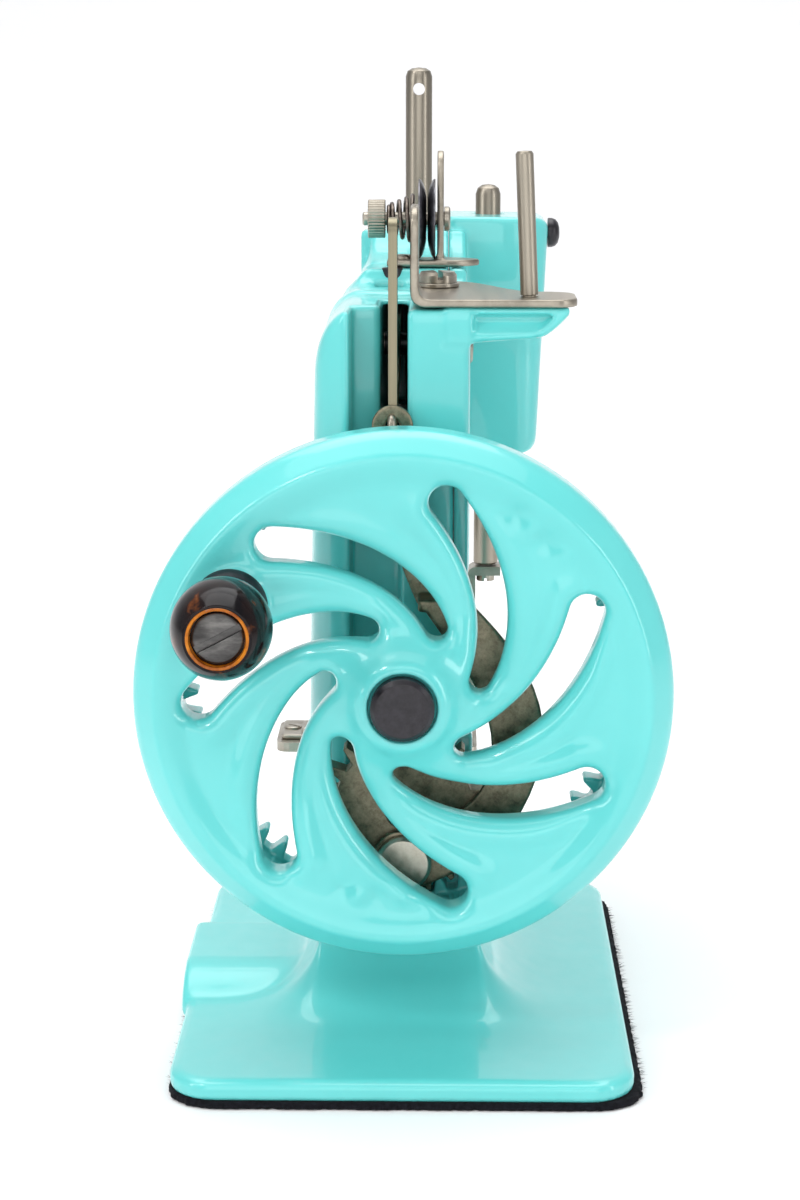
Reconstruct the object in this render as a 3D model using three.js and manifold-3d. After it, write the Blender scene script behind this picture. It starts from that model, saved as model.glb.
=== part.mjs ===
// A small hand-cranked chain-stitch sewing machine, in millimetres.
// +X points to the handwheel end, -Y to the person sewing, +Z up.
// The origin is the middle of the base's underside.
import * as THREE from "three";
import { mergeVertices } from "three/addons/utils/BufferGeometryUtils.js";
import Module from "manifold-3d";

const wasm = await Module();
wasm.setup();

// ---- driving dimensions ----
const GAP = 0.3; // clearance between pieces that touch
const BASE = { halfX: 62, halfY: 44.5, corner: 9, felt: 1.6, top: 5 };
const FLARE = { spreadX: 34, spreadY: 22, height: 17 };
const PEDESTAL = { x0: -46, x1: 20, y0: -17, y1: 15 };
const COLUMN = { x0: -22, x1: 17, front: -18.5, flange: -11, back: 13.6, top: 146.7 };
const COVER_FOOT = 62; // where the rear cover begins
const SEAM_Y = 8.6; // joint plane between the frame and the rear cover
const COVER_BACK = 12.5;
const ARM = { front: -11, bottom: 113, top: 150.2 };
const HEAD = { x0: -86, x1: -62, front: -10, bottom: 105, top: 156.5 };
const HEAD_BOX = { back: 31, backLow: 28.8, bottom: 106, top: 159.5 };
const LOWER_ARM = { x0: -70, y0: -12, y1: 16, z0: 19, z1: 36 };
const SLOT = { y0: -5, y1: 0.5, bottom: 100 };
const PLATE = { x0: -100, x1: -56, y0: -21, y1: 15.6, z0: 36.2, thick: 2.2 };
const WING = { x0: -80, x1: -60, y0: -31 }; // the bed plate's narrow part in front
const GUIDE_SCREW = [-70, -27.6];
const SLIDE_HALF = 10; // half width of the slide plate
const WHEEL = { z: 74.3, radius: 51.8, x0: 33.5, x1: 44.1, webBack: 34, webFront: 39, hubFront: 46.8 };
const SPOKES = 7;
const GEAR = { module: 1.5, ringTeeth: 56, pinionTeeth: 21, x0: 20.6, x1: 25.9 };
const TIMING = { module: 0.9, teeth: 20, x0: -13, x1: -7 };
const LOOPER = { x0: -74.9, x1: -72.8, hook: 1.6 };
const CRANK_RADIUS = 10;
const ROD = { frontX: 26.2, backX: 18.2, thick: 1.6, eyeY: -2.4, eyeZ: 124 };
const KNOB = { radius: 37.6, angle: 149.8, x0: 48, x1: 72 };
const NEEDLE = { x: -76, y: 1.8, radius: 3, top: 192, bottom: 82 };
const PRESSER = { x: -76, y: 17.6, radius: 2.85, top: 166, bottom: 78 };
const LEVER = { x: -28, z: 135, y: -2.4, thick: 1.75 };
const TENSION = { x: -39, z: 160.4, foot: 150.5, thick: 1.4 };
const BRACKET_SCREW = [-11, 6.3];
const SHELF = { x0: -9, y1: 32, z0: 139.5 };

const PITCH_RING = (GEAR.module * GEAR.ringTeeth) / 2;
const PITCH_PINION = (GEAR.module * GEAR.pinionTeeth) / 2;
const PINION_Z = WHEEL.z - (PITCH_RING - PITCH_PINION);
const PITCH_TIMING = (TIMING.module * TIMING.teeth) / 2;
const LOOPER_Z = PINION_Z - 2 * PITCH_TIMING;
const PIN_Z = PINION_Z - CRANK_RADIUS;

// ---- materials ----
const material = (color, roughness, metalness) =>
  new THREE.MeshStandardMaterial({ color, roughness, metalness });
const paint = material(0x6fe0da, 0.25, 0.1);
const nickel = material(0xb9b2a6, 0.3, 0.9);
const bronzed = material(0x857c68, 0.45, 0.85);
const black = material(0x2a2730, 0.4, 0.3);
const spring = material(0x4a4038, 0.4, 0.8);
const tortoise = material(0x3a2016, 0.2, 0.0);
const felt = material(0x15151a, 0.95, 0.0);

// ---- small helpers ----
function solid(geometry) {
  const plain = geometry.clone();
  plain.deleteAttribute("normal");
  plain.deleteAttribute("uv");
  const merged = mergeVertices(plain, 1e-4);
  const vertProperties = new Float32Array(merged.attributes.position.array);
  const triVerts = new Uint32Array(merged.index.array);
  return new wasm.Manifold(new wasm.Mesh({ numProp: 3, vertProperties, triVerts }));
}

function geometryOf(body) {
  const mesh = body.getMesh();
  const geometry = new THREE.BufferGeometry();
  geometry.setAttribute("position", new THREE.BufferAttribute(mesh.vertProperties, 3));
  geometry.setIndex(new THREE.BufferAttribute(mesh.triVerts, 1));
  const flat = geometry.toNonIndexed();
  flat.computeVertexNormals();
  return flat;
}

const join = (first, ...rest) => rest.reduce((body, next) => body.add(next), first);
const cut = (first, ...rest) => rest.reduce((body, next) => body.subtract(next), first);

function box(x0, x1, y0, y1, z0, z1) {
  const geometry = new THREE.BoxGeometry(x1 - x0, y1 - y0, z1 - z0);
  geometry.translate((x0 + x1) / 2, (y0 + y1) / 2, (z0 + z1) / 2);
  return solid(geometry);
}

// A round bar along X, Y or Z, from one end to the other, at its two other coordinates.
function bar(axis, radius, from, to, a, b, sides = 20) {
  const geometry = new THREE.CylinderGeometry(radius, radius, to - from, sides);
  const middle = (from + to) / 2;
  if (axis === "x") geometry.rotateZ(-Math.PI / 2).translate(middle, a, b);
  if (axis === "y") geometry.translate(a, middle, b);
  if (axis === "z") geometry.rotateX(Math.PI / 2).translate(a, b, middle);
  return solid(geometry);
}

// A turned piece from a closed [radius, height] profile, its axis along X, Y or Z.
function turned(axis, profile, a, b, sides = 32) {
  const points = profile.map(([r, h]) => new THREE.Vector2(r, h));
  const last = points[points.length - 1];
  if (points[0].x > 0 || last.x > 0) points.push(points[0].clone());
  const geometry = new THREE.LatheGeometry(points, sides);
  if (axis === "x") geometry.rotateZ(-Math.PI / 2).translate(0, a, b);
  if (axis === "y") geometry.translate(a, 0, b);
  if (axis === "z") geometry.rotateX(Math.PI / 2).translate(a, b, 0);
  const body = solid(geometry);
  if (body.volume() > 0) return body;
  points.reverse();
  return turned(axis, points.map((p) => [p.x, p.y]), a, b, sides);
}

// An outline drawn in the plane across an axis, as a plate from one place to another on it.
// Across X the outline is (y, z), across Y it is (x, z), and across Z it is (x, y).
function plate(axis, shape, from, to, curveSegments = 8) {
  const geometry = new THREE.ExtrudeGeometry(shape, {
    depth: to - from,
    bevelEnabled: false,
    curveSegments,
  });
  const basis = new THREE.Matrix4();
  const [ex, ey, ez] = [
    new THREE.Vector3(1, 0, 0),
    new THREE.Vector3(0, 1, 0),
    new THREE.Vector3(0, 0, 1),
  ];
  if (axis === "x") basis.makeBasis(ey, ez, ex).setPosition(from, 0, 0);
  if (axis === "y") basis.makeBasis(ex, ez, ey.negate()).setPosition(0, to, 0);
  if (axis === "z") basis.makeBasis(ex, ey, ez).setPosition(0, 0, from);
  geometry.applyMatrix4(basis);
  return solid(geometry);
}

function polygon(points) {
  return new THREE.Shape(points.map(([a, b]) => new THREE.Vector2(a, b)));
}

function roundedRectangle(a0, a1, b0, b1, r) {
  const shape = new THREE.Shape();
  shape.moveTo(a0 + r, b0);
  shape.lineTo(a1 - r, b0);
  shape.absarc(a1 - r, b0 + r, r, -Math.PI / 2, 0, false);
  shape.lineTo(a1, b1 - r);
  shape.absarc(a1 - r, b1 - r, r, 0, Math.PI / 2, false);
  shape.lineTo(a0 + r, b1);
  shape.absarc(a0 + r, b1 - r, r, Math.PI / 2, Math.PI, false);
  shape.lineTo(a0, b0 + r);
  shape.absarc(a0 + r, b0 + r, r, Math.PI, 1.5 * Math.PI, false);
  return shape;
}

// A closed skin over rounded rectangles stacked along Z: [x0, x1, y0, y1, corner, z].
function stacked(sections, perCorner = 5) {
  const rings = sections.map(([x0, x1, y0, y1, corner, z]) => {
    const centres = [
      [x1 - corner, y0 + corner],
      [x1 - corner, y1 - corner],
      [x0 + corner, y1 - corner],
      [x0 + corner, y0 + corner],
    ];
    return centres.flatMap(([cx, cy], quarter) =>
      Array.from({ length: perCorner }, (_, k) => {
        const turn = (quarter - 1 + k / (perCorner - 1)) * (Math.PI / 2);
        return [cx + corner * Math.cos(turn), cy + corner * Math.sin(turn), z];
      }),
    );
  });
  const count = perCorner * 4;
  const positions = rings.flat(2);
  const index = [];
  for (let level = 0; level + 1 < rings.length; level++) {
    for (let k = 0; k < count; k++) {
      const a = level * count + k;
      const b = level * count + ((k + 1) % count);
      index.push(a, b, b + count, a, b + count, a + count);
    }
  }
  const topRing = (rings.length - 1) * count;
  for (let k = 1; k + 1 < count; k++) {
    index.push(0, k + 1, k, topRing, topRing + k, topRing + k + 1);
  }
  const geometry = new THREE.BufferGeometry();
  geometry.setAttribute("position", new THREE.Float32BufferAttribute(positions, 3));
  geometry.setIndex(index);
  return solid(geometry);
}

const group = new THREE.Group();

function add(name, body, finish) {
  const mesh = new THREE.Mesh(geometryOf(body), finish);
  mesh.name = name;
  group.add(mesh);
}

// A slotted screw head with its shank, along an axis and pointing to its + or - end.
function screw(axis, face, outward, a, b, headRadius, headHeight, shankRadius, shankLength) {
  const top = face + outward * headHeight;
  const [h0, h1] = [Math.min(face, top), Math.max(face, top)];
  const tip = face - outward * shankLength;
  const [s0, s1] = [Math.min(face, tip), Math.max(face, tip)];
  const into = 0.2;
  const head = bar(axis, headRadius, h0, h1, a, b, 16);
  const [e0, e1] = outward > 0 ? [s0, s1 + into] : [s0 - into, s1];
  const shank = bar(axis, shankRadius, e0, e1, a, b, 10);
  const depth = headHeight * 0.45;
  const [d0, d1] = outward > 0 ? [top - depth, top + 1] : [top - 1, top + depth];
  const slotHalf = headRadius * 0.16;
  const reach = headRadius + 1;
  const slots = {
    x: () => box(d0, d1, a - reach, a + reach, b - slotHalf, b + slotHalf),
    y: () => box(a - reach, a + reach, d0, d1, b - slotHalf, b + slotHalf),
    z: () => box(a - reach, a + reach, b - slotHalf, b + slotHalf, d0, d1),
  };
  return cut(join(head, shank), slots[axis]());
}

// A gear outline with straight-flanked teeth; inward teeth make the hole of a ring gear.
function gearOutline(module, teeth, centre, inward = false) {
  const pitch = (module * teeth) / 2;
  const tip = inward ? pitch + 1.27 * module : pitch + module;
  const root = inward ? pitch - module : pitch - 1.27 * module;
  const step = (2 * Math.PI) / teeth;
  const tipHalf = step * (inward ? 0.2 : 0.09);
  const rootHalf = step * (inward ? 0.4 : 0.29);
  const points = [];
  for (let k = 0; k < teeth; k++) {
    const middle = -Math.PI / 2 + k * step;
    for (const [radius, turn] of [
      [root, -rootHalf],
      [tip, -tipHalf],
      [tip, tipHalf],
      [root, rootHalf],
    ]) {
      const angle = middle + turn;
      points.push([centre[0] + radius * Math.cos(angle), centre[1] + radius * Math.sin(angle)]);
    }
  }
  return polygon(points);
}

// ---- base, column, arm ----
function feltPad() {
  const shape = roundedRectangle(-BASE.halfX, BASE.halfX, -BASE.halfY, BASE.halfY, BASE.corner);
  return plate("z", shape, 0, BASE.felt - 0.02, 6);
}

function baseSlab() {
  const levels = [
    [0.6, BASE.felt],
    [0, BASE.felt + 0.8],
    [0, BASE.top - 1.6],
    [0.9, BASE.top - 0.4],
    [2.6, BASE.top],
  ];
  const sections = levels.map(([inset, z]) => [
    -BASE.halfX + inset,
    BASE.halfX - inset,
    -BASE.halfY + inset,
    BASE.halfY - inset,
    BASE.corner - inset,
    z,
  ]);
  return stacked(sections);
}

function flaredPedestal() {
  const steps = 6;
  const sections = Array.from({ length: steps + 1 }, (_, k) => {
    const turn = (k / steps) * (Math.PI / 2);
    const spread = 1 - Math.sin(turn);
    return [
      Math.max(PEDESTAL.x0 - FLARE.spreadX * spread, 3 - BASE.halfX),
      Math.min(PEDESTAL.x1 + FLARE.spreadX * spread, BASE.halfX - 3),
      PEDESTAL.y0 - FLARE.spreadY * spread,
      PEDESTAL.y1 + FLARE.spreadY * spread,
      7 + 2 * spread,
      BASE.top - 0.5 + FLARE.height * (1 - Math.cos(turn)),
    ];
  });
  sections.push([PEDESTAL.x0, PEDESTAL.x1, PEDESTAL.y0, PEDESTAL.y1, 7, LOWER_ARM.z1 - 1]);
  return stacked(sections);
}

// The raised land on the front edge that takes a table clamp.
function clampLand() {
  const outline = polygon([
    [-15, BASE.felt],
    [19, BASE.felt],
    [15, 5.6],
    [6, 10.4],
    [-15, 10.4],
    [-19, 4.5],
  ]);
  return plate("y", outline, -BASE.halfY - 1.5, -20);
}

function columnOutline(back) {
  const shape = new THREE.Shape();
  shape.moveTo(COLUMN.x1, back);
  shape.lineTo(COLUMN.x0, back);
  shape.lineTo(COLUMN.x0, -12);
  shape.quadraticCurveTo(COLUMN.x0, COLUMN.front, -12, COLUMN.front);
  shape.lineTo(0, COLUMN.front);
  shape.quadraticCurveTo(13, COLUMN.front, COLUMN.x1, COLUMN.flange);
  return shape;
}

// The column's upper front edge is rounded over, seen along the arm.
function columnTopRounding() {
  const shape = new THREE.Shape();
  shape.moveTo(30, 20);
  shape.lineTo(30, COLUMN.top);
  shape.lineTo(-11, COLUMN.top);
  shape.quadraticCurveTo(-17.2, COLUMN.top - 3, -18, 134);
  shape.lineTo(-20, 62);
  shape.lineTo(-20, 20);
  return plate("x", shape, COLUMN.x0 - 1, COLUMN.x1 + 1);
}

// The arm's top steps up behind the column, runs level under the tension unit and rises to the head.
function traceArmTop(shape) {
  shape.lineTo(-28, COLUMN.top);
  shape.quadraticCurveTo(-32, COLUMN.top, -33, ARM.top);
  shape.lineTo(-47, ARM.top);
  shape.quadraticCurveTo(-56, ARM.top + 1, HEAD.x1 + 2, HEAD.top);
}

function armOutline() {
  const shape = new THREE.Shape();
  shape.moveTo(COLUMN.x0 + 6, ARM.bottom - 24);
  shape.lineTo(COLUMN.x0 + 6, COLUMN.top);
  traceArmTop(shape);
  shape.lineTo(HEAD.x0 + 6, HEAD.top);
  shape.quadraticCurveTo(HEAD.x0, HEAD.top, HEAD.x0, HEAD.top - 7);
  shape.lineTo(HEAD.x0, HEAD.bottom);
  shape.lineTo(HEAD.x1, HEAD.bottom);
  shape.quadraticCurveTo(HEAD.x1 + 2, ARM.bottom, HEAD.x1 + 12, ARM.bottom);
  shape.quadraticCurveTo(COLUMN.x0 + 1, ARM.bottom, COLUMN.x0 + 1, ARM.bottom - 24);
  return shape;
}

// The space inside arm and column that the needle lever swings in.
function leverCavityOutline() {
  return polygon([
    [0, 117],
    [0, 145.2],
    [-30, 145.2],
    [-46, 146.8],
    [-64, 150.6],
    [-81.5, 150.6],
    [-81.5, 116],
  ]);
}

function frameCasting() {
  const column = join(
    plate("z", columnOutline(SEAM_Y - GAP / 2), COVER_FOOT, COLUMN.top),
    plate("z", columnOutline(COLUMN.back), 20, COVER_FOOT),
  ).intersect(columnTopRounding());
  const arm = plate("y", armOutline(), ARM.front, SEAM_Y - GAP / 2);
  const lowerArm = box(LOWER_ARM.x0, 0, LOWER_ARM.y0, LOWER_ARM.y1, LOWER_ARM.z0, LOWER_ARM.z1);
  const body = join(baseSlab(), flaredPedestal(), clampLand(), column, arm, lowerArm);
  return cut(body, ...leverSpaces(), ...castingCores(), ...castingBores());
}

function leverSpaces() {
  return [
    plate("y", leverCavityOutline(), SLOT.y0, SLOT.y1),
    box(-5, 20, SLOT.y0, SLOT.y1, SLOT.bottom, 160),
    box(NEEDLE.x - 2, NEEDLE.x + 2, SLOT.y0, NEEDLE.y, 117, 150),
  ];
}

// The hollows left by the foundry's cores: the lower arm, the base and the column's foot.
function castingCores() {
  const wall = 3;
  const { x0, y0, y1, z0, z1 } = LOWER_ARM;
  return [
    box(x0 - 1, -16, y0 + wall, y1 - wall, z0 - 1, z1 - wall),
    box(-42, 12, -12, 11, BASE.felt - 1, 20),
    box(-18, 0, -11, 11, BASE.felt - 1, 59),
  ];
}

function castingBores() {
  return [
    bar("x", 4.8, -5, 30, 0, PINION_Z),
    bar("x", 4.8, 8, 30, 0, WHEEL.z),
    bar("x", 3.3, -70, -10, 0, LOOPER_Z),
    bar("y", 2.5, -30, 20, LEVER.x, LEVER.z),
    bar("z", 4.9, 60, 200, NEEDLE.x, NEEDLE.y),
    bar("z", 1.8, 138, 160, ...BRACKET_SCREW, 12),
    bar("z", 1.5, 148, 160, TENSION.x, -1.6, 12),
    ...plateScrewPlaces().map(([x, y]) => bar("z", 1.6, 34, 40, x, y, 12)),
  ];
}

function rearCoverOutline() {
  const shape = new THREE.Shape();
  shape.moveTo(COLUMN.x1, COVER_FOOT + GAP);
  shape.lineTo(COLUMN.x1, COLUMN.top);
  traceArmTop(shape);
  shape.lineTo(HEAD.x1 - 4, HEAD.top);
  shape.lineTo(HEAD.x1 - 4, ARM.bottom);
  shape.lineTo(HEAD.x1 + 12, ARM.bottom);
  shape.quadraticCurveTo(COLUMN.x0, ARM.bottom, COLUMN.x0, ARM.bottom - 24);
  shape.lineTo(COLUMN.x0, COVER_FOOT + GAP);
  return shape;
}

function rearHeadOutline() {
  const shape = new THREE.Shape();
  const front = SEAM_Y + GAP / 2;
  shape.moveTo(front, HEAD_BOX.bottom);
  shape.lineTo(HEAD_BOX.backLow - 4, HEAD_BOX.bottom);
  shape.quadraticCurveTo(HEAD_BOX.backLow, HEAD_BOX.bottom, HEAD_BOX.backLow, HEAD_BOX.bottom + 4);
  shape.lineTo(HEAD_BOX.back, HEAD_BOX.top - 2);
  shape.lineTo(HEAD_BOX.back - 1, HEAD_BOX.top);
  shape.lineTo(front, HEAD_BOX.top);
  return shape;
}

function shelfOutline() {
  return polygon([
    [COVER_BACK - 1, SHELF.z0 - 6],
    [COVER_BACK + 5, SHELF.z0],
    [SHELF.y1 - 6, SHELF.z0],
    [SHELF.y1, 144.6],
    [SHELF.y1, COLUMN.top],
    [COVER_BACK - 1, COLUMN.top],
  ]);
}

function rearCover() {
  const wall = 3;
  const front = SEAM_Y + GAP / 2;
  const body = join(
    plate("y", rearCoverOutline(), front, COVER_BACK),
    plate("x", rearHeadOutline(), HEAD.x0, HEAD.x1),
    plate("x", shelfOutline(), SHELF.x0, COLUMN.x1),
  );
  const pocket = plate(
    "x",
    polygon([
      [front - 1, HEAD_BOX.bottom + wall],
      [HEAD_BOX.backLow - wall, HEAD_BOX.bottom + wall],
      [HEAD_BOX.back - wall, HEAD_BOX.top - wall],
      [front - 1, HEAD_BOX.top - wall],
    ]),
    HEAD.x0 + wall,
    HEAD.x1 - wall,
  );
  return cut(
    body,
    pocket,
    bar("z", 3.15, 60, 200, PRESSER.x, PRESSER.y),
    box(HEAD.x0 - 1, HEAD.x0 + wall + 1, PRESSER.y - 1.6, PRESSER.y + 1.6, 118, 134),
    bar("y", 1.6, -5, 40, -72, 155.3, 12),
    bar("x", 1.8, HEAD.x0 - 5, HEAD.x0 + wall + 1, 17.6, 113.5, 12),
    ...coverScrewPlaces().map(([x, z]) => bar("y", 1.8, 0, 20, x, z, 12)),
  );
}

function coverScrewPlaces() {
  return [
    [-3, 80],
    [-46, 132],
  ];
}

// ---- handwheel and crank ----
const turnOf = (degrees) => (degrees * Math.PI) / 180;

// The middle line of one curved slot: its angle falls as the radius shrinks.
function slotPoint(share, start) {
  const radius = 39 - share * 24;
  const angle = turnOf(start) - turnOf(68) * (Math.log(41.2 / radius) / Math.log(41.2 / 15));
  return new THREE.Vector2(radius * Math.cos(angle), radius * Math.sin(angle));
}

function slotOutline(start) {
  const steps = 6;
  const left = [];
  const right = [];
  for (let k = 0; k <= steps; k++) {
    const share = k / steps;
    const here = slotPoint(share, start);
    const ahead = slotPoint(share + 0.01, start);
    const along = ahead.clone().sub(here).normalize();
    const half = 3.4 - 1.2 * share * share;
    const side = new THREE.Vector2(-along.y, along.x).multiplyScalar(half);
    left.push(here.clone().add(side));
    right.push(here.clone().sub(side));
    if (k === 0 || k === steps) {
      const outward = k === 0 ? -1 : 1;
      const end = along.clone().multiplyScalar(outward * half);
      const corner = (sign) =>
        here.clone().addScaledVector(end, 0.75).addScaledVector(side, 0.66 * sign);
      const cap = [corner(1), here.clone().add(end), corner(-1)];
      if (k === 0) right.unshift(...cap);
      else left.push(...cap);
    }
  }
  return new THREE.Shape([...left, ...right.reverse()]);
}

function handwheelBody() {
  const profile = [
    [4.8, WHEEL.webBack],
    [44.3, WHEEL.webBack],
    [44.3, GEAR.x0],
    [47, GEAR.x0],
    [47, WHEEL.x0],
    [WHEEL.radius - 2, WHEEL.x0],
    [WHEEL.radius, WHEEL.x0 + 2],
    [WHEEL.radius, WHEEL.x1 - 2.4],
    [WHEEL.radius - 2.4, WHEEL.x1],
    [46.5, WHEEL.x1],
    [42.5, WHEEL.x1 - 1.6],
    [22, WHEEL.webFront],
    [12, WHEEL.webFront + 4],
    [8.6, WHEEL.hubFront],
    [6.6, WHEEL.hubFront],
    [6.6, WHEEL.hubFront - 1.8],
    [4.8, WHEEL.hubFront - 1.8],
  ];
  const wheel = turned("x", profile, 0, WHEEL.z, 48);
  const ring = plate("x", ringGearOutline(), GEAR.x0, GEAR.x1, 15);
  const slots = Array.from({ length: SPOKES }, (_, k) =>
    plate("x", slotOutline(81.6 + (k * 360) / SPOKES), WHEEL.webBack - 0.5, 50).translate([0, 0, WHEEL.z]),
  );
  const [knobY, knobZ] = knobCentre();
  return cut(join(wheel, ring), ...slots, bar("x", 2.3, WHEEL.webBack - 1, WHEEL.x1 + 1, knobY, knobZ, 16));
}

function ringGearOutline() {
  const shape = new THREE.Shape();
  shape.absarc(0, WHEEL.z, 45, 0, 2 * Math.PI, false);
  shape.holes.push(gearOutline(GEAR.module, GEAR.ringTeeth, [0, WHEEL.z], true));
  return shape;
}

function knobCentre() {
  const angle = turnOf(KNOB.angle);
  return [KNOB.radius * Math.cos(angle), WHEEL.z + KNOB.radius * Math.sin(angle)];
}

function crankCollar() {
  const [y, z] = knobCentre();
  const profile = [
    [2.4, WHEEL.x1 - 0.5],
    [7.2, WHEEL.x1 - 0.5],
    [6.4, 45.8],
    [5.4, KNOB.x0 - GAP],
    [2.4, KNOB.x0 - GAP],
  ];
  return turned("x", profile, y, z, 24);
}

function crankKnob() {
  const [y, z] = knobCentre();
  const length = KNOB.x1 - KNOB.x0;
  const outer = [
    [0, 4.6],
    [0.28, 7.2],
    [0.45, 8.9],
    [0.6, 9.35],
    [0.75, 9.0],
    [0.9, 7.7],
    [1, 5.9],
  ].map(([share, radius]) => [radius, KNOB.x0 + share * length]);
  const inner = [
    [5.1, KNOB.x1],
    [5.1, KNOB.x1 - 2.2],
    [2.5, KNOB.x1 - 2.2],
    [2.5, KNOB.x0],
  ];
  return turned("x", [...outer, ...inner], y, z, 24);
}

function knobScrew() {
  const [y, z] = knobCentre();
  const head = bar("x", 4.7, KNOB.x1 - 1.9, KNOB.x1 - 0.4, y, z, 24);
  const shank = bar("x", 2, WHEEL.webBack + 1, KNOB.x1 - 1.8, y, z, 16);
  const slot = box(KNOB.x1 - 1.1, KNOB.x1 + 1, y - 6, y + 6, z - 0.55, z + 0.55);
  const turn = (body) => body.translate([0, -y, -z]).rotate([27.6, 0, 0]).translate([0, y, z]);
  return cut(join(head, shank), turn(slot));
}

function hubStud() {
  const collar = bar("x", 6.2, COLUMN.x1 + GAP, 17.9, 0, WHEEL.z);
  return join(bar("x", 4.5, 8, WHEEL.hubFront - 1.8, 0, WHEEL.z), collar);
}

function hubCap() {
  const profile = [
    [0, WHEEL.hubFront - 1.5],
    [6.1, WHEEL.hubFront - 1.5],
    [6.1, WHEEL.hubFront + 1.6],
    [5.3, WHEEL.hubFront + 2.4],
    [0, WHEEL.hubFront + 2.6],
  ];
  return turned("x", profile, 0, WHEEL.z, 32);
}

// ---- gear train, connecting rod, looper ----
function pinion() {
  const gear = plate("x", gearOutline(GEAR.module, GEAR.pinionTeeth, [0, PINION_Z]), GEAR.x0, GEAR.x1);
  const hub = bar("x", 7, COLUMN.x1 + 1, GEAR.x0 + 0.1, 0, PINION_Z);
  return cut(
    join(gear, hub),
    bar("x", 3.8, 0, 23, 0, PINION_Z),
    bar("x", 2.4, 15, 30, 0, PIN_Z, 16),
  );
}

function pinionShaft() {
  return bar("x", 3.5, -16, 22.8, 0, PINION_Z);
}

function timingGear(z, halfToothOn) {
  const outline = gearOutline(TIMING.module, TIMING.teeth, [0, z]);
  const gear = plate("x", outline, TIMING.x0, TIMING.x1);
  const bored = cut(gear, bar("x", 3.8, -30, 10, 0, z));
  const turn = halfToothOn ? 180 / TIMING.teeth : 0;
  return bored.translate([0, 0, -z]).rotate([turn, 0, 0]).translate([0, 0, z]);
}

function crankPin() {
  const head = turned(
    "x",
    [
      [0, 28.1],
      [5.5, 28.1],
      [5.5, 29.3],
      [4.9, 29.9],
      [0, 30],
    ],
    0,
    PIN_Z,
    24,
  );
  return join(head, bar("x", 3, GEAR.x1 + GAP, 28.2, 0, PIN_Z, 20), bar("x", 2.2, 21, 27, 0, PIN_Z, 16));
}

// The rod's lower half: an eye on the crank pin and a strap that bows round the hub stud.
function rodStrapOutline() {
  const shape = new THREE.Shape();
  shape.moveTo(12.6, 91);
  shape.bezierCurveTo(17, 86, 28.4, 76, 27.4, 62);
  shape.bezierCurveTo(26.6, 50, 18, 39, 11.9, 36.4);
  shape.lineTo(3, PIN_Z - 5.65);
  shape.absarc(0, PIN_Z, 6.4, turnOf(-62), turnOf(-252), true);
  shape.bezierCurveTo(8, 45, 17.4, 50, 17.3, 61);
  shape.bezierCurveTo(17.2, 72, 10, 80, 2.6, 91);
  return shape;
}

function rodTopOutline() {
  const shape = new THREE.Shape();
  shape.moveTo(12.6, 88.4);
  shape.lineTo(2.6, 88.4);
  shape.quadraticCurveTo(-4.6, 104, ROD.eyeY - 4.05, ROD.eyeZ);
  shape.absarc(ROD.eyeY, ROD.eyeZ, 4.05, Math.PI, 0, true);
  shape.quadraticCurveTo(3.4, 108, 12.6, 88.4);
  return shape;
}

function connectingRod() {
  return cut(
    join(
      plate("x", rodStrapOutline(), ROD.frontX, ROD.frontX + ROD.thick, 7),
      box(ROD.backX, ROD.frontX + ROD.thick, 2.6, 12.6, 88.6, 91),
      plate("x", rodTopOutline(), ROD.backX, ROD.backX + ROD.thick, 5),
    ),
    bar("x", 3.3, 20, 30, 0, PIN_Z, 20),
    bar("x", 1.35, 10, 24, ROD.eyeY, ROD.eyeZ, 12),
  );
}

function rodTopPin() {
  const rod = bar("x", 1.05, ROD.backX + 0.1, 21.6, ROD.eyeY, ROD.eyeZ, 12);
  const ball = new THREE.SphereGeometry(1.05, 12, 8);
  ball.rotateZ(Math.PI / 2).translate(21.6, ROD.eyeY, ROD.eyeZ);
  return join(rod, solid(ball));
}

function looperShaft() {
  return bar("x", 3, LOOPER.x1 + 0.1, -5, 0, LOOPER_Z);
}

// The looper turns just beside the needle's path.
function looper() {
  const hub = bar("x", 4.4, LOOPER.x0, LOOPER.x1, 0, LOOPER_Z, 20);
  const hook = new THREE.Shape();
  hook.absarc(0, LOOPER_Z, 5.4, turnOf(-60), turnOf(150), false);
  hook.absarc(0, LOOPER_Z, 3.9, turnOf(120), turnOf(-60), true);
  return join(hub, plate("x", hook, LOOPER.x0, LOOPER.x0 + LOOPER.hook, 12));
}

function shaftBush() {
  return cut(bar("x", 4.5, 0.4, 16.8, 0, PINION_Z), bar("x", 3.8, -5, 20, 0, PINION_Z));
}

function feedCam() {
  const disc = bar("x", 4.2, LOOPER.x1 + 0.2, LOWER_ARM.x0 - GAP, 0.6, LOOPER_Z, 20);
  return cut(disc, bar("x", 3.3, -80, -60, 0, LOOPER_Z, 20));
}

function feedDog() {
  const carrier = box(-82, -70.6, 5.2, 12.8, 34.2, 35.9);
  const teeth = Array.from({ length: 5 }, (_, k) => {
    const y = 6.4 + k * 1.05;
    const tooth = polygon([
      [y, 35.8],
      [y + 1.05, 35.8],
      [y + 1.05, 38.1],
      [y, 38.7],
    ]);
    return plate("x", tooth, -80.5, -77.6);
  });
  return join(carrier, ...teeth);
}

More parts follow.
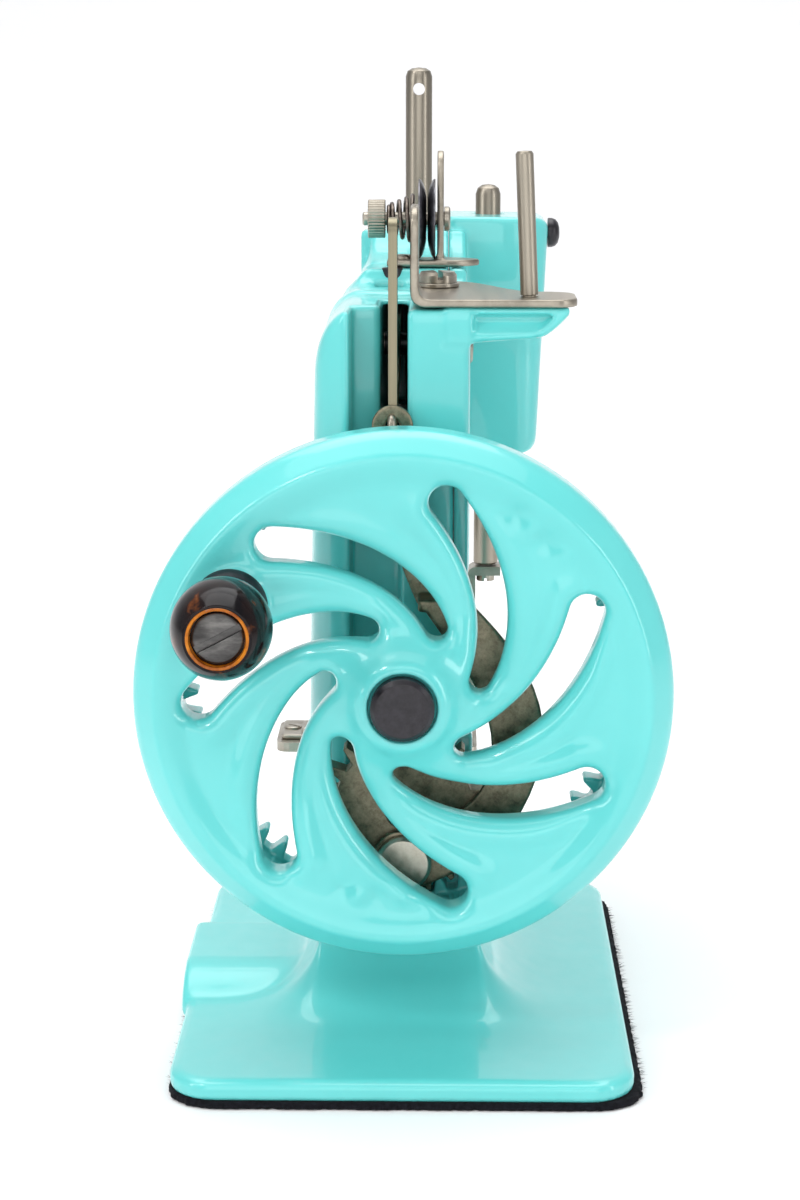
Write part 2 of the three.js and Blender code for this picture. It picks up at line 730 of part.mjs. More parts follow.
// ---- bed ----
function bedPlate() {
  const top = PLATE.z0 + PLATE.thick;
  const body = plate("z", bedPlateOutline(), PLATE.z0, top, 4);
  const places = plateScrewPlaces();
  return cut(
    body,
    bar("z", 1.4, 30, 45, NEEDLE.x, NEEDLE.y, 16),
    box(-81, -77.1, 4.6, 13.4, 30, 45),
    box(PLATE.x0 - 1, -86, -SLIDE_HALF - GAP, SLIDE_HALF + GAP, PLATE.z0 + 1, 45),
    ...places.map(([x, y]) => bar("z", 1.6, 30, 45, x, y, 12)),
    bar("z", 1.5, 30, 45, ...GUIDE_SCREW, 12),
  );
}

function bedPlateOutline() {
  const r = 3;
  const shape = new THREE.Shape();
  shape.moveTo(WING.x0 + r, WING.y0);
  shape.lineTo(WING.x1 - r, WING.y0);
  shape.quadraticCurveTo(WING.x1, WING.y0, WING.x1, WING.y0 + r);
  shape.lineTo(WING.x1, PLATE.y0);
  shape.quadraticCurveTo(PLATE.x1, PLATE.y0, PLATE.x1, PLATE.y0 + r);
  shape.lineTo(PLATE.x1, PLATE.y1 - r);
  shape.quadraticCurveTo(PLATE.x1, PLATE.y1, PLATE.x1 - r, PLATE.y1);
  shape.lineTo(PLATE.x0 + r, PLATE.y1);
  shape.quadraticCurveTo(PLATE.x0, PLATE.y1, PLATE.x0, PLATE.y1 - r);
  shape.lineTo(PLATE.x0, PLATE.y0 + r);
  shape.quadraticCurveTo(PLATE.x0, PLATE.y0, PLATE.x0 + r, PLATE.y0);
  shape.lineTo(WING.x0, PLATE.y0);
  shape.lineTo(WING.x0, WING.y0 + r);
  shape.quadraticCurveTo(WING.x0, WING.y0, WING.x0 + r, WING.y0);
  return shape;
}

function plateScrewPlaces() {
  return [
    [-62, -8],
    [-62, 11],
  ];
}

function slidePlate() {
  const top = PLATE.z0 + PLATE.thick;
  const body = box(PLATE.x0, -86.3, -SLIDE_HALF, SLIDE_HALF, PLATE.z0 + 1.02, top);
  return cut(body, bar("z", 3, top - 0.6, top + 2, -94, 0, 20));
}

function edgeGuide() {
  const top = PLATE.z0 + PLATE.thick;
  const foot = box(-77, -63, -30, -23.8, top + 0.02, top + 1.4);
  const lip = box(-77, -63, -25.2, -23.8, top + 0.02, top + 4);
  return cut(join(foot, lip), bar("z", 1.5, 30, 45, ...GUIDE_SCREW, 12));
}

// ---- needle bar ----
function needleBar() {
  const { x, y, radius, top, bottom } = NEEDLE;
  const profile = [
    [0, bottom],
    [radius, bottom],
    [radius, top - 2],
    [radius - 0.6, top - 0.8],
    [radius - 1.7, top],
    [0, top],
  ];
  return cut(
    turned("z", profile, x, y, 24),
    bar("x", 1.35, x - 5, x + 5, y, top - 4.8, 14),
    bar("z", 1.1, bottom - 1, bottom + 9, x, y, 12),
    bar("y", 1.3, y - 5, y, x, 145, 12),
  );
}

function needleBarStud() {
  return join(
    bar("y", 1, -2, NEEDLE.y - 0.2, NEEDLE.x, 145, 12),
    bar("y", 1.5, -4.5, -1.3, NEEDLE.x, 145, 16),
  );
}

function needleClamp() {
  const body = bar("z", 4.6, NEEDLE.bottom + 1.5, NEEDLE.bottom + 8, NEEDLE.x, NEEDLE.y);
  return cut(
    body,
    bar("z", NEEDLE.radius + GAP, 70, 100, NEEDLE.x, NEEDLE.y),
    bar("y", 1.2, -8, NEEDLE.y, NEEDLE.x, NEEDLE.bottom + 4.6, 12),
  );
}

function needleClampScrew() {
  const z = NEEDLE.bottom + 4.6;
  const face = NEEDLE.y - 4.9;
  const head = bar("y", 2.6, face - 3.4, face, NEEDLE.x, z, 16);
  const shank = bar("y", 0.9, face - 1, NEEDLE.y - 3.3, NEEDLE.x, z, 12);
  return join(head, shank);
}

function needle() {
  const profile = [
    [0, 46.5],
    [0.35, 49],
    [0.45, 70],
    [0.8, 73],
    [0.8, NEEDLE.bottom + 7],
    [0, NEEDLE.bottom + 7],
  ];
  return turned("z", profile, NEEDLE.x, NEEDLE.y, 12);
}

function barBush(z0, z1) {
  const flange = turned(
    "z",
    [
      [NEEDLE.radius + 0.15, z0],
      [4.6, z0],
      [4.6, z1],
      [NEEDLE.radius + 0.15, z1],
    ],
    NEEDLE.x,
    NEEDLE.y,
    24,
  );
  return flange;
}

// ---- needle lever ----
function leverOutline() {
  const shape = new THREE.Shape();
  shape.moveTo(-70.5, 148.2);
  shape.lineTo(LEVER.x - 6, 140);
  shape.quadraticCurveTo(LEVER.x, 142.5, LEVER.x + 6, 138.2);
  shape.lineTo(10, 130.5);
  shape.lineTo(10, 162.1);
  shape.quadraticCurveTo(10.4, 163.9, 13, 163.9);
  shape.quadraticCurveTo(15.6, 163.9, 16, 162.1);
  shape.lineTo(16, 127.6);
  shape.lineTo(16.6, 126);
  shape.lineTo(16.2, 122.6);
  shape.lineTo(8, 122.9);
  shape.lineTo(LEVER.x + 6, 130.6);
  shape.quadraticCurveTo(LEVER.x, 127.8, LEVER.x - 6, 131.8);
  shape.lineTo(-70.5, 140.2);
  shape.lineTo(-79, 142);
  shape.lineTo(-79, 143.1);
  shape.lineTo(-71, 142.3);
  shape.lineTo(-71, 147);
  shape.lineTo(-79, 147.6);
  shape.lineTo(-79, 148.7);
  shape.lineTo(-72, 148.6);
  return shape;
}

function needleLever() {
  const y0 = LEVER.y - LEVER.thick / 2;
  const body = plate("y", leverOutline(), y0, y0 + LEVER.thick, 5);
  return cut(body, bar("y", 2.5, -10, 5, LEVER.x, LEVER.z, 20), bar("y", 0.9, -10, 5, 13, 160.1, 12));
}

function leverPivotScrew() {
  return screw("y", ARM.front - 0.02, -1, LEVER.x, LEVER.z, 4.2, 1.8, 2.2, 18.8);
}

// ---- presser bar ----
function presserBar() {
  const { x, y, radius, top, bottom } = PRESSER;
  const profile = [
    [0, bottom],
    [radius, bottom],
    [radius, top - 2.4],
    [radius - 0.7, top - 0.8],
    [radius - 1.6, top],
    [0, top],
  ];
  return turned("z", profile, x, y, 24);
}

function presserFoot() {
  const { x, y, bottom } = PRESSER;
  const outline = new THREE.Shape();
  outline.moveTo(y + 3.4, bottom - GAP);
  outline.lineTo(y - 2, bottom - GAP);
  outline.quadraticCurveTo(y - 4.4, bottom - GAP, y - 4.4, bottom - 3);
  outline.lineTo(y - 4.4, 46);
  outline.quadraticCurveTo(y - 5, 41, 8, 41);
  outline.lineTo(-7, 41);
  outline.quadraticCurveTo(-10, 41, -12, 43);
  outline.lineTo(-12, 42);
  outline.quadraticCurveTo(-10, 39.4, -7, 39.4);
  outline.lineTo(y - 5.5, 39.4);
  outline.quadraticCurveTo(y - 2.4, 39.4, y - 2.4, 44);
  outline.lineTo(y - 2.4, bottom - 2.4);
  outline.lineTo(y + 3.4, bottom - 2.4);
  const strap = plate("x", outline, x - 3.3, x + 3.3, 4);
  const sole = plate("z", roundedRectangle(x - 6.5, x + 6.5, -8, 11, 2.5), 39.4, 41, 4);
  return cut(
    join(strap, sole),
    plate("z", roundedRectangle(x - 2, x + 2, -2, 5.6, 1.9), 35, 43, 5),
    box(x - 5, x - 1, 5, 13.2, 35, 39.9),
    bar("z", 1.5, 60, 90, x, y, 12),
  );
}

function presserFootScrew() {
  const { x, y, bottom } = PRESSER;
  return screw("z", bottom - 2.42, -1, x, y, 2.1, 1.6, 1.3, 2);
}

function presserCollar() {
  const { x, y, radius } = PRESSER;
  const ring = cut(bar("z", 5, 121.4, 126.4, x, y), bar("z", radius + GAP, 100, 140, x, y));
  const pin = bar("x", 1.2, HEAD.x0 - 4.4, x - 4.4, y, 124, 12);
  return join(ring, pin);
}

// A snail cam that lifts the collar's pin by 5 mm over a quarter turn, with its handle.
function presserLifter() {
  const { y } = PRESSER;
  const centreZ = 113.5;
  const base = 9;
  const rise = 5;
  const points = [];
  const steps = 24;
  for (let k = 0; k <= steps; k++) {
    const turn = (k / steps) * 360;
    const lift = turn <= 90 ? (rise * turn) / 90 : rise * (1 - (turn - 90) / 270);
    const angle = turnOf(90 - turn);
    const radius = base + lift;
    if (k < steps) points.push([y - radius * Math.cos(angle), centreZ + radius * Math.sin(angle)]);
  }
  const face = HEAD.x0 - GAP;
  const cam = plate("x", polygon(points), face - 2.2, face);
  const handle = plate("x", roundedRectangle(y - 2.6, y + 2.6, 84, 110, 2.5), face - 2.2, face, 5);
  return cut(join(cam, handle), bar("x", 1.8, face - 10, face + 5, y, centreZ, 14));
}

function lifterPivot() {
  return screw("x", HEAD.x0 - GAP - 2.5, -1, PRESSER.y, 113.5, 3.4, 1.6, 1.5, 5.4);
}

// A spring coil: a round wire swept along a helix whose radius may change.
function coil(axisPoint, direction, length, turns, radiusAt, wire) {
  class Helix extends THREE.Curve {
    getPoint(t) {
      const angle = t * turns * 2 * Math.PI;
      const radius = radiusAt(t);
      const local = new THREE.Vector3(radius * Math.cos(angle), t * length, radius * Math.sin(angle));
      if (direction === "z") local.set(local.x, local.z, local.y);
      return local.add(axisPoint);
    }
  }
  const shape = new THREE.Shape();
  shape.absarc(0, 0, wire, 0, 2 * Math.PI, false);
  const geometry = new THREE.ExtrudeGeometry(shape, {
    steps: Math.round(turns * 8),
    extrudePath: new Helix(),
    curveSegments: 3,
    bevelEnabled: false,
  });
  const body = solid(geometry);
  return body;
}

function presserSpring() {
  const start = new THREE.Vector3(PRESSER.x, PRESSER.y, 127.4);
  return coil(start, "z", 28, 6, () => 4.1, 0.55);
}

// ---- spool bracket and pin ----
function spoolBracket() {
  const z0 = COLUMN.top + 0.05;
  const thick = 1.6;
  const outline = new THREE.Shape();
  outline.moveTo(COLUMN.x1 + 0.6, 1);
  outline.lineTo(COLUMN.x1 + 0.6, 29);
  outline.absarc(COLUMN.x1 - 4, 29, 4.6, 0, Math.PI / 2, false);
  outline.lineTo(5, 33.6);
  outline.quadraticCurveTo(-1, 33.6, -1, 27);
  outline.bezierCurveTo(-1, 19, -24, 18, -26, 8);
  outline.quadraticCurveTo(-26.5, 1, -20, 1);
  const foot = plate("z", outline, z0, z0 + thick, 5);
  const lug = new THREE.Shape();
  lug.moveTo(1, z0);
  lug.lineTo(COLUMN.x1 + 0.6, z0);
  lug.lineTo(COLUMN.x1 + 0.6, 162);
  lug.absarc(COLUMN.x1 - 3.4, 162, 4, 0, Math.PI / 2, false);
  lug.lineTo(5, 166);
  lug.absarc(5, 162, 4, Math.PI / 2, Math.PI, false);
  return cut(
    join(foot, plate("y", lug, 1, 2.6, 4)),
    bar("z", 1.75, 140, 160, ...BRACKET_SCREW, 14),
    bar("z", 1.6, 140, 160, 10, 24.4, 14),
    bar("y", 1.4, -2, 5, 9.4, 161, 12),
  );
}

function spoolPin() {
  const z0 = COLUMN.top + 0.35;
  const profile = [
    [0, 0],
    [1.3, 0],
    [1.3, 1.6],
    [1.75, 1.65],
    [1.75, 28.6],
    [1.2, 29.3],
    [0, 29.5],
  ];
  const upright = turned("z", profile, 0, 0, 20);
  return upright.rotate([2.6, 0, 0]).translate([10, 24.4, z0]);
}

function bracketScrew() {
  return screw("z", 149.3, 1, ...BRACKET_SCREW, 4, 2.3, 1.5, 7);
}

function bracketWasher() {
  return cut(
    bar("z", 4.4, 148.4, 149.25, ...BRACKET_SCREW),
    bar("z", 1.8, 140, 160, ...BRACKET_SCREW, 14),
  );
}

// ---- tension unit ----
function tensionBracket() {
  const { x, z, foot: z0, thick } = TENSION;
  const foot = new THREE.Shape();
  foot.moveTo(x - 5, -4.6);
  foot.lineTo(x + 5, -4.6);
  foot.lineTo(x + 5, 8);
  foot.quadraticCurveTo(x + 4, 13.4, x, 15.2);
  foot.quadraticCurveTo(x - 4, 13.4, x - 5, 8);
  const strip = new THREE.Shape();
  strip.moveTo(x - 4, z0);
  strip.lineTo(x + 4, z0);
  strip.lineTo(x + 4, 170.8);
  strip.absarc(x, 170.8, 4, 0, Math.PI, false);
  return cut(
    join(plate("z", foot, z0, z0 + thick, 6), plate("y", strip, 6.1, 7.5, 8)),
    bar("y", 1.75, -5, 12, x, z, 14),
    bar("z", 1.5, 145, 158, x, -1.6, 14),
    bar("y", 1.1, 0, 12, x, 170.8, 12),
  );
}

function tensionBracketScrew() {
  const face = TENSION.foot + TENSION.thick + 0.02;
  return screw("z", face, 1, TENSION.x, -1.6, 2.3, 0.9, 1.2, 3.2);
}

function tensionStud() {
  const { x, z } = TENSION;
  return join(bar("y", 1.45, -10.5, 7.7, x, z, 16), bar("y", 2.6, 7.6, 8.9, x, z, 18));
}

function tensionDisc(inner) {
  const { x, z } = TENSION;
  const faces = [
    [1.75, 0.15],
    [4.6, 0.15],
    [7.4, 0.8],
    [8.4, 1.5],
    [8.3, 1.9],
    [4.8, 0.75],
    [1.75, 0.75],
  ];
  const profile = faces.map(([r, h]) => [r, inner ? 3.9 + h : 3.9 - h]);
  return turned("y", profile, x, z, 20);
}

function tensionSpring() {
  const start = new THREE.Vector3(TENSION.x, -4.1, TENSION.z);
  return coil(start, "y", 5, 4.5, (t) => 2.5 + 2.6 * t, 0.4);
}

function tensionNut() {
  const { x, z } = TENSION;
  const teeth = 24;
  const points = [];
  for (let k = 0; k < teeth * 2; k++) {
    const angle = (k * Math.PI) / teeth;
    const radius = k % 2 ? 3.85 : 4.15;
    points.push([x + radius * Math.cos(angle), z + radius * Math.sin(angle)]);
  }
  return cut(plate("y", polygon(points), -8.3, -5), bar("y", 1.75, -12, 0, x, z, 16));
}

// ---- assembly ----
add("felt_pad", feltPad(), felt);
add("frame_casting", frameCasting(), paint);
add("rear_cover", rearCover(), paint);
add("head_screw", screw("y", HEAD_BOX.back + 0.1, 1, -72, 155.3, 3.3, 2.6, 1.3, 12), black);
coverScrewPlaces().forEach(([x, z], k) => {
  add(`cover_screw_${k + 1}`, screw("y", COVER_BACK + 0.02, 1, x, z, 3.4, 1.6, 1.5, 3.8), nickel);
});
add("hub_stud", hubStud(), nickel);
add("hub_cap", hubCap(), black);
add("handwheel", handwheelBody(), paint);
add("crank_collar", crankCollar(), black);
add("crank_knob", crankKnob(), tortoise);
add("knob_screw", knobScrew(), bronzed);
add("pinion", pinion(), bronzed);
add("pinion_shaft", pinionShaft(), nickel);
add("shaft_bush", shaftBush(), bronzed);
add("timing_gear_upper", timingGear(PINION_Z, false), bronzed);
add("timing_gear_lower", timingGear(LOOPER_Z, true), bronzed);
add("crank_pin", crankPin(), bronzed);
add("connecting_rod", connectingRod(), bronzed);
add("rod_top_pin", rodTopPin(), nickel);
add("looper_shaft", looperShaft(), nickel);
add("looper", looper(), nickel);
add("feed_cam", feedCam(), bronzed);
add("feed_dog", feedDog(), nickel);
add("bed_plate", bedPlate(), nickel);
plateScrewPlaces().forEach(([x, y], k) => {
  const face = PLATE.z0 + PLATE.thick + 0.02;
  add(`plate_screw_${k + 1}`, screw("z", face, 1, x, y, 2.6, 1, 1.3, 3.4), nickel);
});
add("slide_plate", slidePlate(), nickel);
add("edge_guide", edgeGuide(), nickel);
add("edge_guide_screw", screw("z", 39.85, 1, ...GUIDE_SCREW, 2.2, 1.2, 1.2, 3.4), nickel);
add("needle_bar", needleBar(), nickel);
add("needle_bar_stud", needleBarStud(), nickel);
add("needle_clamp", needleClamp(), nickel);
add("needle_clamp_screw", needleClampScrew(), nickel);
add("needle", needle(), nickel);
add("needle_bush_upper", barBush(151.5, 157.5), nickel);
add("needle_bush_lower", barBush(104, 112), nickel);
add("needle_lever", needleLever(), nickel);
add("lever_pivot_screw", leverPivotScrew(), nickel);
add("presser_bar", presserBar(), nickel);
add("presser_foot", presserFoot(), nickel);
add("presser_foot_screw", presserFootScrew(), nickel);
add("presser_collar", presserCollar(), nickel);
add("presser_spring", presserSpring(), spring);
add("presser_lifter", presserLifter(), nickel);
add("lifter_pivot_screw", lifterPivot(), nickel);
add("spool_bracket", spoolBracket(), nickel);
add("spool_pin", spoolPin(), nickel);
add("bracket_screw", bracketScrew(), nickel);
add("bracket_washer", bracketWasher(), nickel);
add("tension_bracket", tensionBracket(), nickel);
add("tension_bracket_screw", tensionBracketScrew(), nickel);
add("tension_stud", tensionStud(), nickel);
add("tension_disc_inner", tensionDisc(true), black);
add("tension_disc_outer", tensionDisc(false), black);
add("tension_spring", tensionSpring(), spring);
add("tension_nut", tensionNut(), nickel);

export default group;
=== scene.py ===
"""A child-size hand-cranked sewing machine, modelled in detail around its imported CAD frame.

Fields and outlines are in millimetres, in the frame's own axes: +X to the handwheel, -Y to the
person sewing, +Z up. Everything given to Blender is in metres.
"""

import itertools
import math

import bpy
import numpy as np
from mathutils import Matrix, Vector


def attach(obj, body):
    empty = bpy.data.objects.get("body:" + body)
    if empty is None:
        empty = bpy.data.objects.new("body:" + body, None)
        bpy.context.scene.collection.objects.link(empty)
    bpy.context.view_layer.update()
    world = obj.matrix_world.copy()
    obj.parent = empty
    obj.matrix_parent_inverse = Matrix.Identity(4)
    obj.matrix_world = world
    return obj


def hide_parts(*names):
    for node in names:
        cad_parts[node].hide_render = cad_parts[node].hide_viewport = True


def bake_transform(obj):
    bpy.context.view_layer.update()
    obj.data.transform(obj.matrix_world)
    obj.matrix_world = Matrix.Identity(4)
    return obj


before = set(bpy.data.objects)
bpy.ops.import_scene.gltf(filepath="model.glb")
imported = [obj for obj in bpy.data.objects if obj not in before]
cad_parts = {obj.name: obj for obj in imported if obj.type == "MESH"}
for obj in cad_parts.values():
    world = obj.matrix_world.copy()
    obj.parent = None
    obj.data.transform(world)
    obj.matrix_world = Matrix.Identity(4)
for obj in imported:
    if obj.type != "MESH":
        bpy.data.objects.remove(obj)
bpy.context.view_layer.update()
MM = 0.001

# ---- the CAD model's driving dimensions ----
BASE_X, BASE_Y, BASE_CORNER, BASE_LOW = 62, 44.5, 9, 1.6
COLUMN_TOP = 146.7
COLUMN_STEP = 62
ARM_TOP = 150.2
HEAD_LEFT, HEAD_RIGHT, HEAD_LOW, HEAD_TOP = -86, -62, 105, 156.5
SEAM = 8.6
BED_TOP = 38.42
SLOT_Y = (-5, 0.5)
NEEDLE = (-76, 1.8)
PRESSER = (-76, 17.6)
LEVER_Y = -2.4
LEVER_PIVOT = (-28, 135)
EYE_Z = 124
TENSION = (-39, 160.4)
STRIP_TOP = 170.8
BRACKET_SCREW = (-11, 6.3)
SPOOL_PIN = (10, 24.4)
WHEEL_Z = 74.3
WHEEL_RADIUS, HUB_RADIUS, WHEEL_SLOTS = 51.8, 8.3, 7
WEB_BACK, RIM_FRONT, HUB_FRONT = 34, 44.1, 46.8
RING_TEETH, PINION_TEETH, MODULE = 56, 21, 1.5
GEAR_BACK, GEAR_FRONT = 20.6, 25.9
PINION_Z = 48.05
PIN_Z = 38.05
KNOB_RADIUS, KNOB_ANGLE = 37.6, math.radians(149.8)
KNOB = (KNOB_RADIUS * math.cos(KNOB_ANGLE), WHEEL_Z + KNOB_RADIUS * math.sin(KNOB_ANGLE))
KNOB_X = 48

# ---- what only the visual model has ----
# the felt stands out a little behind the base
FELT_BACK = 45.8
FIBRES = 420
# across, up, reach and depth of the wheel's dents, from its centre; a lump has a negative depth
CASTING_FLAWS = (
    (21.5, 36.5, 1.9, 0.7), (24, 33.5, 1.6, -0.6), (26.5, 31, 2.2, 0.7), (30, 28.6, 1.4, -0.5),
    (-12, -37, 2, 0.6), (-8.5, -38.5, 1.6, -0.6), (-4.5, -38, 2.2, 0.6), (0.5, -38.5, 1.6, -0.5),
)


# ---- outlines ----
def arc(cy, cz, radius, start, end, count=12):
    angles = np.radians(np.linspace(start, end, count + 1))
    return [(cy + radius * math.cos(a), cz + radius * math.sin(a)) for a in angles]


def curve(controls, count):
    """Points of a Bezier curve after its first one."""
    controls = np.array(controls, float)
    degree = len(controls) - 1
    made = []
    for t in np.linspace(0, 1, count + 1)[1:]:
        weights = [math.comb(degree, k) * t**k * (1 - t) ** (degree - k) for k in range(degree + 1)]
        made.append(tuple(np.dot(weights, controls)))
    return made


def path(*steps, count=10):
    """An outline from points, Bezier steps given as tuples of points, and ready lists of points."""
    points = []
    for step in steps:
        if isinstance(step, list):
            points += step
        elif isinstance(step[0], tuple):
            points += curve([points[-1], *step], count)
        else:
            points.append(step)
    return points


def rounded_box(a0, a1, b0, b1, r):
    corners = [(a1 - r, b0 + r, -90), (a1 - r, b1 - r, 0), (a0 + r, b1 - r, 90), (a0 + r, b0 + r, 180)]
    return [p for a, b, turn in corners for p in arc(a, b, r, turn, turn + 90, 6)]


# ---- distance fields, negative inside ----
def length(*parts):
    return np.sqrt(sum(p * p for p in parts))


def flat(points, a, b):
    """Signed distance to a closed outline."""
    nearest, sign = np.inf, 1.0
    ends = np.array(points, float)
    for p, q in zip(ends, np.roll(ends, -1, axis=0)):
        edge = q - p
        along = (a - p[0]) * edge[0] + (b - p[1]) * edge[1]
        t = np.clip(along / max(edge @ edge, 1e-9), 0, 1)
        gap = (a - p[0] - t * edge[0]) ** 2 + (b - p[1] - t * edge[1]) ** 2
        nearest = np.minimum(nearest, gap)
        left = edge[0] * (b - p[1]) > edge[1] * (a - p[0])
        up = (b >= p[1]) & (b < q[1]) & left
        down = (b < p[1]) & (b >= q[1]) & ~left
        sign = np.where(up | down, -sign, sign)
    return sign * np.sqrt(nearest)


def extrude(across, c, low, high, r=0.0):
    """A flat distance given thickness along c, with its edges rounded by r."""
    over = np.abs(c - (low + high) / 2) - (high - low) / 2 + r
    across = across + r
    outside = length(np.maximum(across, 0), np.maximum(over, 0))
    return np.minimum(np.maximum(across, over), 0) + outside - r


def block(x, y, z, low, high, r):
    parts = [np.abs(c - (l + h) / 2) - (h - l) / 2 + r for c, l, h in zip((x, y, z), low, high)]
    inner = np.minimum(np.maximum(np.maximum(parts[0], parts[1]), parts[2]), 0)
    return inner + length(*[np.maximum(p, 0) for p in parts]) - r


def rod(a, b, c, middle, radius, low, high, r=0.3):
    return extrude(length(a - middle[0], b - middle[1]) - radius, c, low, high, r)


def blend(a, b, k):
    """Union with a fillet about k across."""
    near = np.maximum(k - np.abs(a - b), 0) / k
    return np.minimum(a, b) - near * near * k / 4


def meet(a, b, k):
    return -blend(-a, -b, k)


def carve(a, b, k):
    return -blend(-a, b, k)


def ease(value, low, high):
    t = np.clip((value - low) / (high - low), 0, 1)
    return t * t * (3 - 2 * t)


# ---- from a field to a mesh ----
def sample(values, at):
    """The field between its grid points."""
    low = np.clip(np.floor(at).astype(int), 0, np.array(values.shape) - 2)
    t = at - low
    total = 0
    for i in (0, 1):
        for j in (0, 1):
            for k in (0, 1):
                share = abs(1 - i - t[:, 0]) * abs(1 - j - t[:, 1]) * abs(1 - k - t[:, 2])
                total = total + share * values[low[:, 0] + i, low[:, 1] + j, low[:, 2] + k]
    return total


def slope(values, at, reach):
    steps = np.eye(3) * reach
    return np.stack([(sample(values, at + s) - sample(values, at - s)) / (2 * reach) for s in steps], 1)


def crossings(values):
    """One point in each grid cell that the surface passes through, and the cells' numbers."""
    inside = values < 0
    corners = [(i, j, k) for i in (0, 1) for j in (0, 1) for k in (0, 1)]
    nx, ny, nz = np.array(values.shape) - 1
    count = sum(inside[i : nx + i, j : ny + j, k : nz + k].astype(np.int8) for i, j, k in corners)
    active = (count > 0) & (count < 8)
    cells = np.argwhere(active)
    number = np.full(active.shape, -1, np.int64)
    number[active] = np.arange(len(cells))
    held = [values[tuple((cells + c).T)] for c in corners]
    total = np.zeros(cells.shape)
    hits = np.zeros(len(cells))
    for a in range(8):
        for b in range(a + 1, 8):
            step = np.subtract(corners[b], corners[a])
            if np.abs(step).sum() != 1:
                continue
            crosses = (held[a] < 0) != (held[b] < 0)
            t = np.where(crosses, held[a] / np.where(crosses, held[a] - held[b], 1), 0)
            total += np.where(crosses[:, None], corners[a] + t[:, None] * step, 0)
            hits += crosses
    return cells + total / hits[:, None], number, inside


def faces_between(number, inside):
    """A quad across each grid edge that the surface cuts."""
    quads = []
    for axis in range(3):
        u, v = np.eye(3, dtype=int)[[(axis + 1) % 3, (axis + 2) % 3]]
        size = inside.shape[axis] - 1
        first = np.take(inside, range(size), axis)
        second = np.take(inside, range(1, size + 1), axis)
        edges = np.argwhere(first != second)
        quad = np.stack([number[tuple((edges - d).T)] for d in (u + v, v, 0 * u, u)], 1)
        outward = first[tuple(edges.T)]
        quad[~outward] = quad[~outward][:, ::-1]
        quads.append(quad)
    return np.concatenate(quads)


def cast(name, field, low, high, step):
    """A mesh of the surface where the field is zero."""
    axes = [np.arange(l - 2 * step, h + 3 * step, step, dtype=np.float32) for l, h in zip(low, high)]
    x, y, z = np.meshgrid(*axes, indexing="ij", sparse=True)
    values = np.broadcast_to(field(x, y, z), [len(a) for a in axes]).astype(np.float32)
    points, number, inside = crossings(values)
    for _ in range(3):
        lean = slope(values, points, 0.5)
        points -= lean * (sample(values, points) / np.maximum((lean * lean).sum(1), 1e-6))[:, None]
    normals = slope(values, points, 0.7)
    normals /= np.linalg.norm(normals, axis=1)[:, None]
    places = (np.array([a[0] for a in axes]) + points * step) * MM
    mesh = bpy.data.meshes.new(name)
    mesh.from_pydata(places.tolist(), [], faces_between(number, inside).tolist())
    mesh.polygons.foreach_set("use_smooth", np.ones(len(mesh.polygons), bool))
    mesh.normals_split_custom_set_from_vertices(normals.tolist())
    return linked(name, mesh)


def linked(name, data):
    made = bpy.data.objects.new(name, data)
    bpy.context.collection.objects.link(made)
    return made


# ---- turned, swept and flat pieces ----
CLOSED_TURN = 0.6
# the two axes across each axis, in turning order, then the axis itself
AXES = {"x": (1, 2, 0), "y": (2, 0, 1), "z": (0, 1, 2)}


def smooth(made, degrees=35):
    made.data.polygons.foreach_set("use_smooth", np.ones(len(made.data.polygons), bool))
    made.data.set_sharp_from_angle(angle=math.radians(degrees))


def bevel(made, width, segments=3, degrees=32, harden=True):
    edge = made.modifiers.new("edge", "BEVEL")
    edge.width = width * MM
    edge.segments = segments
    edge.limit_method = "ANGLE"
    edge.angle_limit = math.radians(degrees)
    edge.harden_normals = harden


def around(axis, centre, radius, angle, place):
    """A point on a circle round an axis. The centre is (y, z), (x, z) or (x, y)."""
    first, second, along = AXES[axis]
    middle = centre[::-1] if axis == "y" else centre
    point = [0.0, 0.0, 0.0]
    point[first] = middle[0] + radius * math.cos(angle)
    point[second] = middle[1] + radius * math.sin(angle)
    point[along] = place
    return point


def tube_faces(rings, sides):
    """Quads between rings of points that follow one another."""
    faces = []
    for ring in range(rings - 1):
        for k in range(sides):
            a, b = ring * sides + k, ring * sides + (k + 1) % sides
            faces.append((a, b, b + sides, a + sides))
    return faces


def end_faces(rings, sides):
    last = (rings - 1) * sides
    return [tuple(reversed(range(sides))), tuple(range(last, last + sides))]


def turned(name, axis, profile, centre, sides=72, edge=0.2):
    """A turned piece from (radius, place along the axis) pairs, which may close on themselves."""
    angles = np.linspace(0, 2 * math.pi, sides, endpoint=False)
    points = []
    for radius, place in profile:
        for angle in angles:
            points.append([c * MM for c in around(axis, centre, radius, angle, place)])
    faces = tube_faces(len(profile), sides)
    if profile[0] == profile[-1]:
        last = (len(profile) - 1) * sides
        points = points[:last]
        faces = [tuple(v % last for v in face) for face in faces]
    else:
        faces += end_faces(len(profile), sides)
    return finished(name, points, faces, edge)


def moved(profile, by):
    """A profile moved along its axis."""
    return [(radius, by + place) for radius, place in profile]


def finished(name, points, faces, edge):
    mesh = bpy.data.meshes.new(name)
    mesh.from_pydata(points, [], faces)
    made = linked(name, mesh)
    outward(mesh)
    smooth(made)
    if edge:
        bevel(made, edge)
    return made


def outward(mesh):
    """Turns the faces outward if they lie the wrong way."""
    mesh.calc_loop_triangles()
    volume = 0.0
    for triangle in mesh.loop_triangles:
        a, b, c = (mesh.vertices[k].co for k in triangle.vertices)
        volume += a.dot(b.cross(c))
    if volume < 0:
        mesh.flip_normals()


